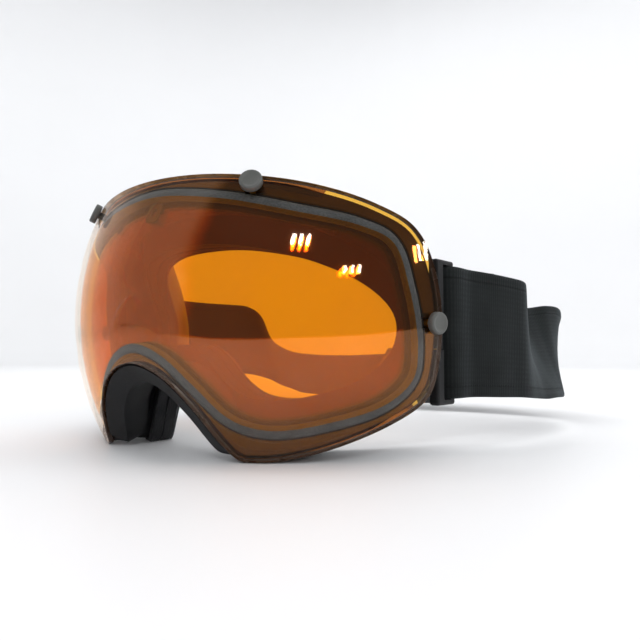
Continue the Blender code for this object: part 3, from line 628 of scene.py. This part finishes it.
FRAME_RUBBER = moulded("frame_rubber", (0.0055, 0.0055, 0.006), (0.012, 0.012, 0.013),
                       roughness=0.6, grain=1500, depth=0.00008, gloss=0.2)
CARRIER_PLASTIC = moulded("carrier_plastic", (0.006, 0.006, 0.0065), (0.012, 0.012, 0.0125),
                          roughness=0.5, grain=1900, depth=0.00005, gloss=0.22)
SLIDER_PLASTIC = moulded("slider_plastic", (0.022, 0.022, 0.024), (0.036, 0.036, 0.038),
                         roughness=0.34, grain=1900, depth=0.00005)
STUD_PLASTIC = moulded("stud_plastic", (0.060, 0.062, 0.058), (0.092, 0.094, 0.088),
                       roughness=0.42, grain=1700, depth=0.00006)
PATCH_FILM = moulded("patch_film", (0.035, 0.022, 0.018), (0.06, 0.036, 0.03),
                     roughness=0.7, grain=1200, depth=0.00006)
GASKET_FOAM = foam("gasket_foam", (0.030, 0.035, 0.040), (0.066, 0.073, 0.080), cell=1500, depth=0.0002)
FACE_FOAM = foam("face_foam_black", (0.006, 0.006, 0.007), (0.022, 0.022, 0.024), cell=1300, depth=0.00022)
SOFT_FOAM = foam("face_foam_soft_black", (0.007, 0.007, 0.008), (0.026, 0.026, 0.028),
                 cell=1500, depth=0.0002)
VENT_FOAM = foam("vent_foam_open", (0.010, 0.010, 0.011), (0.05, 0.05, 0.052), cell=620, depth=0.0006)
FLEECE = fleece("fleece_pile", (0.012, 0.012, 0.014), (0.045, 0.045, 0.05))
STRAP_WEB = webbing("strap_webbing", (0.0035, 0.0045, 0.0045), (0.016, 0.019, 0.019))
PIN_METAL = metal("pin_metal", (0.42, 0.42, 0.43), (0.6, 0.6, 0.61))
OUTER_FRONT = tinted("outer_lens_front", through=(1.0, 0.97, 0.92), mirror=(1.0, 0.86, 0.76),
                     facing=0.032, grazing=0.6, far=(1.0, 0.74, 0.58), roughness=0.02)
OUTER_BACK = tinted("outer_lens_coating", through=(1.0, 0.57, 0.08), mirror=(1.0, 0.38, 0.07),
                    facing=0.12, grazing=0.75)
# Painted shade: a dark amber tint on the back's edge where no light comes through.
OUTER_LENS_PAINTED_SHADE = tinted("outer_lens_painted_shade", through=(0.34, 0.11, 0.02), mirror=(1.0, 0.40, 0.10),
                   facing=0.14, grazing=0.75)
OUTER_BOND = tinted("outer_lens_bonded", through=(0.96, 0.97, 0.98), mirror=(0.9, 0.9, 0.9),
                    facing=0.004, grazing=0.3)
INNER_FILM = tinted("inner_lens_film", through=(1.0, 0.77, 0.17), mirror=(1.0, 0.36, 0.03),
                    facing=0.12, grazing=0.7, far=(1.0, 0.4, 0.12))
# Painted glow on the lens's cut edge, standing in for light piped through it.
LENS_EDGE_PAINTED_GLOW = cut_edge("lens_cut_edge_painted_glow", (0.035, 0.015, 0.006), (0.95, 0.48, 0.07))


# ---------------- pieces

def new_object(name, data):
    obj = bpy.data.objects.new(name, data)
    bpy.context.scene.collection.objects.link(obj)
    return obj


def add(name, mesh, finish, body, nodes=(), smooth_angle=40):
    """Links a piece, shaded smooth with its materials, to its body, and hides the CAD nodes that it stands
    for.
    """
    mesh.name = name
    mesh.shade_smooth()
    mesh.set_sharp_from_angle(angle=math.radians(smooth_angle))
    for one in (finish if isinstance(finish, (list, tuple)) else [finish]):
        mesh.materials.append(one)
    obj = new_object(name, mesh)
    if body:
        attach(obj, body)
    if nodes:
        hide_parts(*nodes)
    return obj


def soften(obj, width, angle=30):
    modifier = obj.modifiers.new("edges", "BEVEL")
    modifier.width = width
    modifier.segments = 2
    modifier.limit_method = "ANGLE"
    modifier.angle_limit = math.radians(angle)
    modifier.use_clamp_overlap = True
    modifier.harden_normals = True


def dress(node, finish, bevel=0.0):
    """A better material, and softly broken edges, on a piece that stays as the CAD has it."""
    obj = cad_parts[node]
    for slot in obj.material_slots:
        slot.material = finish
    if bevel:
        soften(obj, bevel)


def cut(obj, mesh, operation="DIFFERENCE"):
    """Booleans a mesh with an object at once."""
    other = new_object("helper", mesh)
    modifier = obj.modifiers.new("cut", "BOOLEAN")
    modifier.object = other
    modifier.operation = operation
    modifier.solver = "EXACT"
    bpy.context.view_layer.update()
    graph = bpy.context.evaluated_depsgraph_get()
    made = bpy.data.meshes.new_from_object(obj.evaluated_get(graph))
    obj.modifiers.clear()
    obj.data = made
    bpy.data.objects.remove(other)


# ---------------- lens, gasket and patch

def lens_rows(half, reach, depths, round_by, band=None):
    """Rows of a lens with softly broken edges, from the middle of the front round the edge to the middle of
    the back. band is (outline, half width) of the stripe where the gasket is stuck to the back."""
    front, back = depths
    edge = inset(lens_trace, half, RING, -reach)
    near = inset(lens_trace, half, RING, -reach + round_by)
    rows = [on_lens(towards_middle(edge, scale), front) for scale in LENS_SCALES[::-1]]
    rows.append(on_lens(near, front))
    rows.append(on_lens(edge, front + round_by))
    rows.append(on_lens(edge, back - round_by))
    rows.append(on_lens(near, back))
    start = edge
    if band:
        outer = inset(lens_trace, band[0], RING, -band[1])
        start = inset(lens_trace, band[0], RING, band[1])
        rows += [on_lens(points, back) for points in ((near + outer) / 2, outer, start)]
    rows += [on_lens(towards_middle(start, scale), back) for scale in LENS_SCALES]
    return rows


def lens_piece(name, rows, finishes, node, banded):
    """Faces take the material of the front, the cut edge with its painted glow, the back, the stripe on the
    back or, by the back's edge where no light comes through it, a darker tint that is painted shade."""
    mesh = quads(rows, wrap=False)
    count = len(rows[0])
    kinds = [FRONT] * len(LENS_SCALES) + [CUT] * 3
    rim = len(kinds)
    kinds += [BACK, BACK, BOND] if banded else []
    kinds += [BACK] * (len(rows) - 1 - len(kinds)) + [FRONT, BACK]
    places = mirrored_place((np.arange(count) + 0.5) * 2 * KNOTS / count)
    # Painted shade on the back's edge row, outside BRIGHT_EDGE.
    shaded = (places < BRIGHT_EDGE[0]) | (places > BRIGHT_EDGE[1])
    for face in mesh.polygons:
        row = face.index // count
        painted_shade = banded and row == rim and shaded[face.index % count]
        face.material_index = SHADED_RIM if painted_shade else kinds[row]
    return add(name, mesh, finishes, "lens_cartridge", [node], 35)


def squared(value):
    return math.copysign(abs(value) ** GASKET_SQUARENESS, value)


def build_lenses():
    outer = lens_rows(LENS_EDGE, 0.0, (0.0, LENS_THICKNESS), LENS_ROUND, (GASKET_LINE, GASKET_HALF))
    finishes = [OUTER_FRONT, LENS_EDGE_PAINTED_GLOW, OUTER_BACK, OUTER_BOND, OUTER_LENS_PAINTED_SHADE]
    lens_piece("outer_lens_shell", outer, finishes, "outer_lens", True)
    inner = lens_rows(GASKET_LINE, INNER_LENS_REACH, INNER_LENS_DEPTHS, INNER_LENS_ROUND)
    lens_piece("inner_lens_shell", inner, [INNER_FILM] * 3, "inner_lens", False)
    dress("breather_patch", PATCH_FILM)


def build_gasket():
    rows = []
    middle_depth = sum(GASKET_DEPTHS) / 2
    half_depth = (GASKET_DEPTHS[1] - GASKET_DEPTHS[0]) / 2
    for a in np.radians(np.arange(0, 360, GASKET_STEP)):
        line = inset(lens_trace, GASKET_LINE, RING, GASKET_HALF * squared(math.cos(a)))
        rows.append(on_lens(line, middle_depth - half_depth * squared(math.sin(a))))
    add("lens_gasket_strip", quads(rows), GASKET_FOAM, "lens_cartridge", ["lens_gasket"],
        60)


# ---------------- frame and vent foams

def section(places):
    """The frame's section at each place, as a dictionary of named rows of points."""
    around = mirrored_place(places)
    nose = eased(around, NOSE_RAMP)
    rise = eased(nose, LIP_RISE)
    closed = (1 - eased(around, BROW_RAMP)) + eased(around, CHEEK_RAMP)
    closed = (RIM_CLOSE_SIDES + (1 - RIM_CLOSE_SIDES) * closed) * (1 - nose)
    seat_front, seat_rear = SEAT_DEPTHS
    flange_front, flange_rear = FOAM_DEPTH + FLANGE_THICKNESS, FOAM_DEPTH
    rows = {}
    seat_outer = inset(lens_trace, GASKET_LINE, places, -INNER_LENS_REACH - SEAT_ROOM)
    seat_inner = inset(lens_trace, GASKET_LINE, places, GASKET_HALF)
    rows["seat_inner_front"] = on_lens(seat_inner, seat_front)
    rows["seat_outer"] = on_lens(seat_outer, seat_front)
    rows["rim_inner"] = on_lens(seat_outer, RIM_PLAIN[0][1])
    for k, (plain, lip) in enumerate(zip(RIM_PLAIN, RIM_NOSE)):
        distance = plain[0] + (lip[0] - plain[0]) * nose - RIM_CLOSE * closed
        depth = plain[1] + (lip[1] - plain[1]) * rise
        rows[f"rim_{k}"] = on_lens(inset(lens_trace, LENS_EDGE, places, distance), depth)
    flange_edge = inset(trace, FACE_OUTER, places, FLANGE_INSET)
    wall_root = inset(trace, FACE_OUTER, places, FLANGE_INSET + WALL_THICKNESS)
    opening = trace(FACE_INNER, places)
    flange_middle = (trace(FACE_OUTER, places) + opening) / 2
    rows["flange_front"] = on_face(flange_edge, flange_front)
    rows["flange_rear"] = on_face(flange_edge, flange_rear)
    rows["middle_rear"] = on_face(flange_middle, flange_rear)
    rows["opening_rear"] = on_face(opening, flange_rear)
    rows["opening_front"] = on_face(opening, flange_front)
    rows["middle_front"] = on_face(flange_middle, flange_front)
    rows["wall_rear"] = on_face(wall_root, flange_front)
    wall_inset = WALL_INSET_PLAIN + (WALL_INSET_NOSE - WALL_INSET_PLAIN) * nose
    rows["wall_front"] = on_lens(inset(lens_trace, LENS_EDGE, places, wall_inset), seat_rear)
    rows["seat_inner_rear"] = on_lens(seat_inner, seat_rear)
    return rows


def wall_patch(first, last, span, outside, inside):
    """A solid that follows a stretch of the frame's side wall. outside and inside are distances outwards from
    the wall's outer face and inwards from its inner face; a negative outside starts the solid within the
    opening."""
    places = np.linspace(first, last, max(VENT_STEPS, int(abs(last - first) * VENT_STEPS)))
    rows = section(places)
    front_out, rear_out = rows["rim_3"], rows["flange_front"]
    front_in, rear_in = rows["wall_front"], rows["wall_rear"]
    edges = []
    for share in span:
        outer = front_out + (rear_out - front_out) * share
        inner = front_in + (rear_in - front_in) * share
        inward = (inner - outer) / np.linalg.norm(inner - outer, axis=1)[:, None]
        start = (inner if outside < 0 else outer) - inward * outside
        edges.append((start, inner + inward * inside))
    (front_a, front_b), (rear_a, rear_b) = edges
    return quads(list(np.stack([front_a, rear_a, rear_b, front_b], axis=1)), wrap=False, split=True)


def studs():
    """(name, point on the lens's outer surface, outward direction) of each stud."""
    for place, (degrees, height) in STUD_PLACES.items():
        for word, side in SIDES:
            spot = np.array([[math.radians(side * degrees) * LENS_RADIUS_H, height]])
            point = on_lens(spot, 0.0)[0]
            yield f"{place}_{word}", point, point - on_lens(spot, 1.0)[0]


def stud_path(point, outward):
    """The space that a stud's shaft sweeps as the lens comes off forwards."""
    forward = np.array([0.0, -RELEASE_SWEEP / abs(outward[1]), 0.0])
    start, end = (point - depth * outward for depth in STUD_HOLE_DEPTHS)
    return hull_of([rod(STUD_HOLE_RADIUS, start, end, 12),
                    rod(STUD_HOLE_RADIUS, start + forward, end + forward, 12)])


def lens_pocket():
    line = inset(lens_trace, GASKET_LINE, RING, -INNER_LENS_REACH - POCKET_ROOM)
    front, rear = POCKET_DEPTHS
    rows = [on_lens(towards_middle(line, scale), front) for scale in POCKET_SCALES]
    rows += [on_lens(towards_middle(line, scale), rear) for scale in POCKET_SCALES[::-1]]
    return quads(rows, wrap=False, split=True)


def add_knuckle(obj, side):
    low, high = ((side * HINGE_X, HINGE_Y, z) for z in KNUCKLE_Z)
    root = box((*KNUCKLE_ROOT_SIZE, KNUCKLE_Z[1] - KNUCKLE_Z[0]))
    middle = (side * KNUCKLE_ROOT_X, HINGE_Y, sum(KNUCKLE_Z) / 2)
    root.transform(Matrix.Translation(to_world(middle)))
    cut(obj, hull_of([rod(KNUCKLE_RADIUS, low, high), root]), "UNION")
    cut(obj, rod(PIN_BORE, *((side * HINGE_X, HINGE_Y, z) for z in PIN_BORE_Z)))


def build_frame():
    obj = new_object("frame_shell", quads(list(section(RING).values()), split=True))
    pocket = lens_pocket()
    for name, point, outward in studs():
        boss = new_object("boss", rod(BOSS_RADIUS, *(point - depth * outward for depth in BOSS_DEPTHS)))
        cut(boss, pocket)
        cut(obj, boss.data, "UNION")
        bpy.data.objects.remove(boss)
    for word, side in SIDES:
        add_knuckle(obj, side)
    for name, point, outward in studs():
        cut(obj, stud_path(point, outward))
    for first, last in TOP_VENTS + BOTTOM_VENTS:
        cut(obj, wall_patch(first, last, VENT_SPAN, VENT_REACH, VENT_REACH))
        cut(obj, wall_patch(-last, -first, VENT_SPAN, VENT_REACH, VENT_REACH))
    mesh = obj.data
    bpy.data.objects.remove(obj)
    add("frame_shell", mesh, FRAME_RUBBER, "goggles", ["frame"], 35)


def build_vent_foams():
    stretches = {
        "vent_foam_top": (-TOP_FOAM_REACH, TOP_FOAM_REACH),
        "vent_foam_bottom_left": BOTTOM_FOAM,
        "vent_foam_bottom_right": (-BOTTOM_FOAM[1], -BOTTOM_FOAM[0]),
    }
    for name, (first, last) in stretches.items():
        mesh = wall_patch(first, last, VENT_FOAM_SPAN, -GAP, VENT_FOAM_REACH)
        obj = add(name + "_strip", mesh, VENT_FOAM, "goggles", [name], 50)
        soften(obj, FOAM_BEVEL, 40)


# ---------------- face foam

def foam_rows(near, far, corner, crown):
    """Rows round a foam ring's section, with rounded corners and edges that fall away from the face."""
    outer = trace(FACE_OUTER, RING)
    inner = trace(FACE_INNER, RING)
    width = np.linalg.norm(inner - outer, axis=1)[:, None]
    direction = (inner - outer) / width
    rows = []
    for share, at_far, steps in FOAM_WALK:
        for sideways, lift in steps:
            offset = corner * sideways * (1 if share == 0 else -1)
            points = outer + direction * (width * share + offset)
            across = np.abs(2 * (share + offset / width[:, 0]) - 1)
            fall = crown * across ** 4
            rows.append(rippled(points, (far if at_far else near) + corner * lift + fall))
    return rows


def rippled(points, forward):
    """The same as on_face, with the slight unevenness of cut foam."""
    made = on_face(points, forward)
    across, up = FOAM_RIPPLE_WAVES
    made[:, 1] += FOAM_RIPPLE * np.sin(points[:, 0] * across) * np.sin(points[:, 1] * up + 1.0)
    return made


def build_face_foam():
    for (node, slot_name, fill, layer), finish in zip(FACE_LAYERS, (FACE_FOAM, SOFT_FOAM, FLEECE)):
        add(node + "_ring", quads(foam_rows(*layer)), finish, "goggles", [node], 60)


# ---------------- studs and pins

def shaft_tip(radius, low):
    return [(radius - inwards, low + above) for inwards, above in SHAFT_TIP] + [(0, low)]


def build_studs():
    top = STUD_CAP_GAP + STUD_CAP_HEIGHT
    profile = [(radius, top - below) for radius, below in STUD_DISH]
    profile += [(STUD_CAP_RADIUS - inwards, top - below) for inwards, below in STUD_RIM]
    profile += [(STUD_CAP_RADIUS - inwards, STUD_CAP_GAP + above) for inwards, above in STUD_UNDERSIDE]
    profile.append((STUD_SHAFT_RADIUS, STUD_CAP_GAP))
    profile += shaft_tip(STUD_SHAFT_RADIUS, -STUD_SHAFT_DEPTH)
    for name, point, outward in studs():
        add(f"lens_stud_{name}_turned", turned(profile, point, outward), STUD_PLASTIC, "lens_cartridge",
            [f"lens_stud_{name}"], 50)


def build_pins():
    low, high = PIN_Z
    profile = [(0, high)] + [(PIN_RADIUS - inwards, high - below) for inwards, below in PIN_TOP]
    profile += shaft_tip(PIN_RADIUS, low)
    for word, side in SIDES:
        mesh = turned(profile, (side * HINGE_X, HINGE_Y, 0), (0, 0, 1), 32)
        add(f"hinge_pin_{word}_turned", mesh, PIN_METAL, "goggles", [f"hinge_pin_{word}"], 40)


# ---------------- strap

def strap_line(side):
    """The strap's stations on one side: (x, y, z, lean), finely spaced from the bar backwards."""
    knots = np.array(STRAP_LEFT if side > 0 else STRAP_RIGHT, float)
    before = 2 * knots[0] - knots[1]
    after = knots[-1] + (-side * STRAP_BACK_STEP, 0, -side * STRAP_BACK_STEP * STRAP_BACK_SLOPE, 0)
    knots = np.vstack([before, knots, after])
    made = []
    for k in range(1, len(knots) - 2):
        for t in np.arange(STRAP_STEPS) / STRAP_STEPS:
            made.append(spline(*knots[k - 1:k + 3], t))
    made.append(knots[-2])
    return np.array(made)


def travelled(line):
    """Distance along a line at each of its stations."""
    steps = np.linalg.norm(np.diff(line[:, :3], axis=0), axis=1)
    return np.concatenate([[0.0], np.cumsum(steps)])


def resample(line, distances):
    """Stations at the given distances along a line."""
    travel = travelled(line)
    return np.stack([np.interp(distances, travel, line[:, k]) for k in range(4)], axis=1)


def band_section():
    """(place across, height) round a band's section, over the front and back behind."""
    front = list(BAND_HALF) + [(-a, h) for a, h in BAND_HALF[::-1]]
    return front + [(a, -h) for a, h in front[-2:0:-1]]


def band_mesh(points, outward, lean, shift):
    """A woven band through points, with its UV map in metres along and across it. shift moves it outwards."""
    up = np.array([[0.0, 0.0, 1.0]])
    lean = np.radians(lean)[:, None]
    across = up * np.cos(lean) + outward * np.sin(lean)
    normal = outward * np.cos(lean) - up * np.sin(lean)
    middle = points + normal * shift[:, None]
    shape = band_section()
    rows = [middle + across * a * STRAP_WIDTH / 2 + normal * h * STRAP_THICKNESS / 2 for a, h in shape]
    mesh = quads(list(np.stack(rows, axis=1)), wrap=False)
    travel = travelled(middle) * MM
    spread = [a * STRAP_WIDTH / 2 * MM for a, h in shape]
    count = len(shape)
    last = len(middle) * count
    layer = mesh.uv_layers.new(name="band")
    for corner in mesh.loops:
        vertex = corner.vertex_index
        if vertex < last:
            place = (travel[vertex // count], spread[vertex % count])
        else:
            place = (travel[0 if vertex == last else -1], 0.0)
        layer.data[corner.index].uv = place
    return mesh


def plan_outward(points, side):
    """Level direction away from the strap's inside, at each point."""
    along = np.gradient(points, axis=0)
    along[:, 2] = 0
    along /= np.linalg.norm(along, axis=1)[:, None]
    return np.stack([along[:, 1], -along[:, 0], np.zeros(len(along))], axis=1) * side


def strap_back(side, start_x):
    """Stations of the straight run across the back."""
    return np.array([[x, STRAP_BACK_Y, STRAP_BACK_Z + STRAP_BACK_SLOPE * x, math.degrees(STRAP_BACK_LEAN)]
                     for x in np.linspace(start_x, -side * OVERLAP_END, STRAP_BACK_STATIONS)])


def strap_loop(line, side, half_gap, close, travel):
    """Points of the sewn end: its tail, the fold round the bar, and the layer that runs on into the strap."""
    spread = half_gap + (LOOP_RADIUS - half_gap) * (1 - smooth_step(travel / LOOP_SPREAD))
    along = line[1, :3] - line[0, :3]
    along[2] = 0
    along /= np.linalg.norm(along)
    sideways = np.array([along[1], -along[0], 0.0]) * side
    tail = [close[k, :3] - sideways * spread[k] for k in range(len(travel) - 1, 0, -1)]
    fold = [close[0, :3] + LOOP_RADIUS * (-sideways * math.cos(a) - along * math.sin(a))
            for a in np.radians(np.arange(0, 181, LOOP_FOLD_STEP))]
    over = [close[k, :3] + sideways * spread[k] for k in range(1, len(travel))]
    return tail + fold, over


def strap_stations(side):
    """The whole strap on one side: sewn end, and the run to the overlap at the back, where the left one lies
    outside. Gives points, leans and outward shifts."""
    line = strap_line(side)
    half_gap = (STRAP_THICKNESS + STRAP_LAYER_GAP) / 2
    travel = np.linspace(0, LOOP_LENGTH - LOOP_JOIN[0], LOOP_STATIONS)
    close = resample(line, travel)
    end, over = strap_loop(line, side, half_gap, close, travel)
    run_travel = np.arange(LOOP_LENGTH + LOOP_JOIN[1], travelled(line)[-1], STRAP_RUN_STEP)
    back = strap_back(side, line[-1, 0])
    run = np.vstack([resample(line, run_travel), back])
    merge = half_gap * (1 - smooth_step((run_travel - LOOP_LENGTH) / LOOP_MERGE))
    merge = np.concatenate([merge, np.zeros(len(back))])
    points = np.vstack([end, over, run[:, :3]])
    head = len(end) + len(over)
    level = close[0, 2]
    ease = smooth_step(np.arange(len(over)) / len(over))
    points[:len(end), 2] = level
    points[len(end):head, 2] = level + (close[1:, 2] - level) * ease
    lean = np.concatenate([np.zeros(len(end)), close[1:, 3] * ease, run[:, 3]])
    turn_in = smooth_step((OVERLAP_START - np.abs(run[:, 0])) / OVERLAP_LENGTH)
    turn_in[run[:, 1] < OVERLAP_FROM_Y] = 0.0
    shift = np.concatenate([np.zeros(head), merge + half_gap * side * turn_in])
    return points, lean, shift


def build_strap(word, side):
    points, lean, shift = strap_stations(side)
    mesh = band_mesh(points, plan_outward(points, side), lean, shift)
    name = f"strap_{word}"
    obj = add(name, mesh, STRAP_WEB, None, [f"strap_band_{word}", f"strap_end_{word}"], 60)
    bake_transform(obj)


# ---------------- studio

def stage_mesh(name, verts, faces, finish):
    mesh = bpy.data.meshes.new(name)
    mesh.from_pydata(verts, [], faces)
    mesh.shade_smooth()
    mesh.materials.append(finish)
    obj = new_object(name, mesh)
    obj.rotation_euler = (0, 0, STUDIO_TURN)
    return obj


def stage_floor(name, near, far, finish):
    verts = [(-TABLE_HALF, near, 0), (TABLE_HALF, near, 0), (TABLE_HALF, far, 0), (-TABLE_HALF, far, 0)]
    return stage_mesh(name, verts, [(0, 1, 2, 3)], finish)


def stage_wall(name, start, finish):
    """Half of a round wall that curves up out of the floor."""
    profile = [(WALL_FOOT + WALL_BEND * math.sin(a), WALL_BEND - WALL_BEND * math.cos(a))
               for a in np.radians(np.arange(0, 91, 10))]
    profile.append((WALL_FOOT + WALL_BEND, WALL_TOP))
    turns = np.radians(start + np.arange(0, 181, 6))
    verts = [(r * math.cos(a), r * math.sin(a), z) for a in turns for r, z in profile]
    n = len(profile)
    faces = [(k * n + j, k * n + j + 1, (k + 1) * n + j + 1, (k + 1) * n + j)
             for k in range(len(turns) - 1) for j in range(n - 1)]
    return stage_mesh(name, verts, faces, finish)


def soft_light(name, place, aim, size, power):
    light = bpy.data.lights.new(name, "AREA")
    light.shape = "RECTANGLE"
    light.size, light.size_y = size
    light.energy = power
    obj = new_object(name, light)
    obj.location = place
    obj.rotation_euler = (Vector(aim) - Vector(place)).to_track_quat("-Z", "Y").to_euler()
    obj.visible_glossy = False
    obj.visible_camera = False
    return obj


def lamp_group(name, azimuth, elevation, spacing, size, power):
    """Three parallel tubes that show in the lens as small slanted bars."""
    for k in (-1, 0, 1):
        a, e = math.radians(azimuth + k * spacing), math.radians(elevation)
        way = Vector((math.sin(a) * math.cos(e), -math.cos(a) * math.cos(e), math.sin(e)))
        lamp = soft_light(f"{name}_{k + 1}", Vector(LAMP_AIM) + way * LAMP_DISTANCE, LAMP_AIM, size, power)
        lamp.rotation_euler.rotate_axis("Z", LAMP_SLANT)
        lamp.visible_glossy = True


def build_world():
    """Pale to the camera. To all else it is a bright studio on the left and a dim room on the right."""
    world = bpy.data.worlds.new("studio")
    bpy.context.scene.world = world
    n = Nodes(world, "OutputWorld")
    side = n.facing(n.put("TexCoord").outputs["Generated"], WORLD_BRIGHT_WAY)
    seen = n.put("LightPath").outputs["Is Camera Ray"]
    strength = n.put("Mix", Factor=seen, A=n.grey(side, 0.2, 0.72, -0.03, 0.07), B=WORLD_TO_CAMERA)
    n.finish(n.put("Background", Color=(0.97, 0.98, 1.0, 1.0), Strength=strength.outputs["Result"]))


def build_studio():
    """A round white studio. Its front half isn't seen in the lens, which shows a dim room there instead."""
    white = painted("table_white", (0.80, 0.805, 0.815), 0.5)
    stage_floor("studio_table", TABLE_FRONT, TABLE_HALF, white)
    stage_wall("studio_wall", 0, white)
    for sheet in (stage_floor("studio_apron", -TABLE_HALF, TABLE_FRONT, white),
                  stage_wall("studio_front", 180, white)):
        sheet.visible_glossy = False
    build_world()
    for light in SOFT_LIGHTS:
        soft_light(*light)
    for lamps in LAMPS:
        lamp_group(*lamps)


def build_camera():
    camera = bpy.data.cameras.new("photo_view")
    camera.sensor_width = CAMERA_SENSOR
    camera.lens = CAMERA_LENS
    camera.clip_start = MM
    obj = new_object("photo_view", camera)
    obj.matrix_world = Matrix.Translation(CAMERA_PLACE) @ Matrix(CAMERA_AXES).transposed().to_4x4()
    bpy.context.scene.camera = obj


build_camera()
build_studio()
build_lenses()
build_gasket()
build_frame()
build_vent_foams()
build_face_foam()
build_studs()
build_pins()
for word, side in SIDES:
    dress(f"outrigger_{word}", CARRIER_PLASTIC, CARRIER_BEVEL)
    dress(f"strap_slider_{word}", SLIDER_PLASTIC, SLIDER_BEVEL)
    build_strap(word, side)
bpy.context.scene.view_settings.view_transform = "Standard"
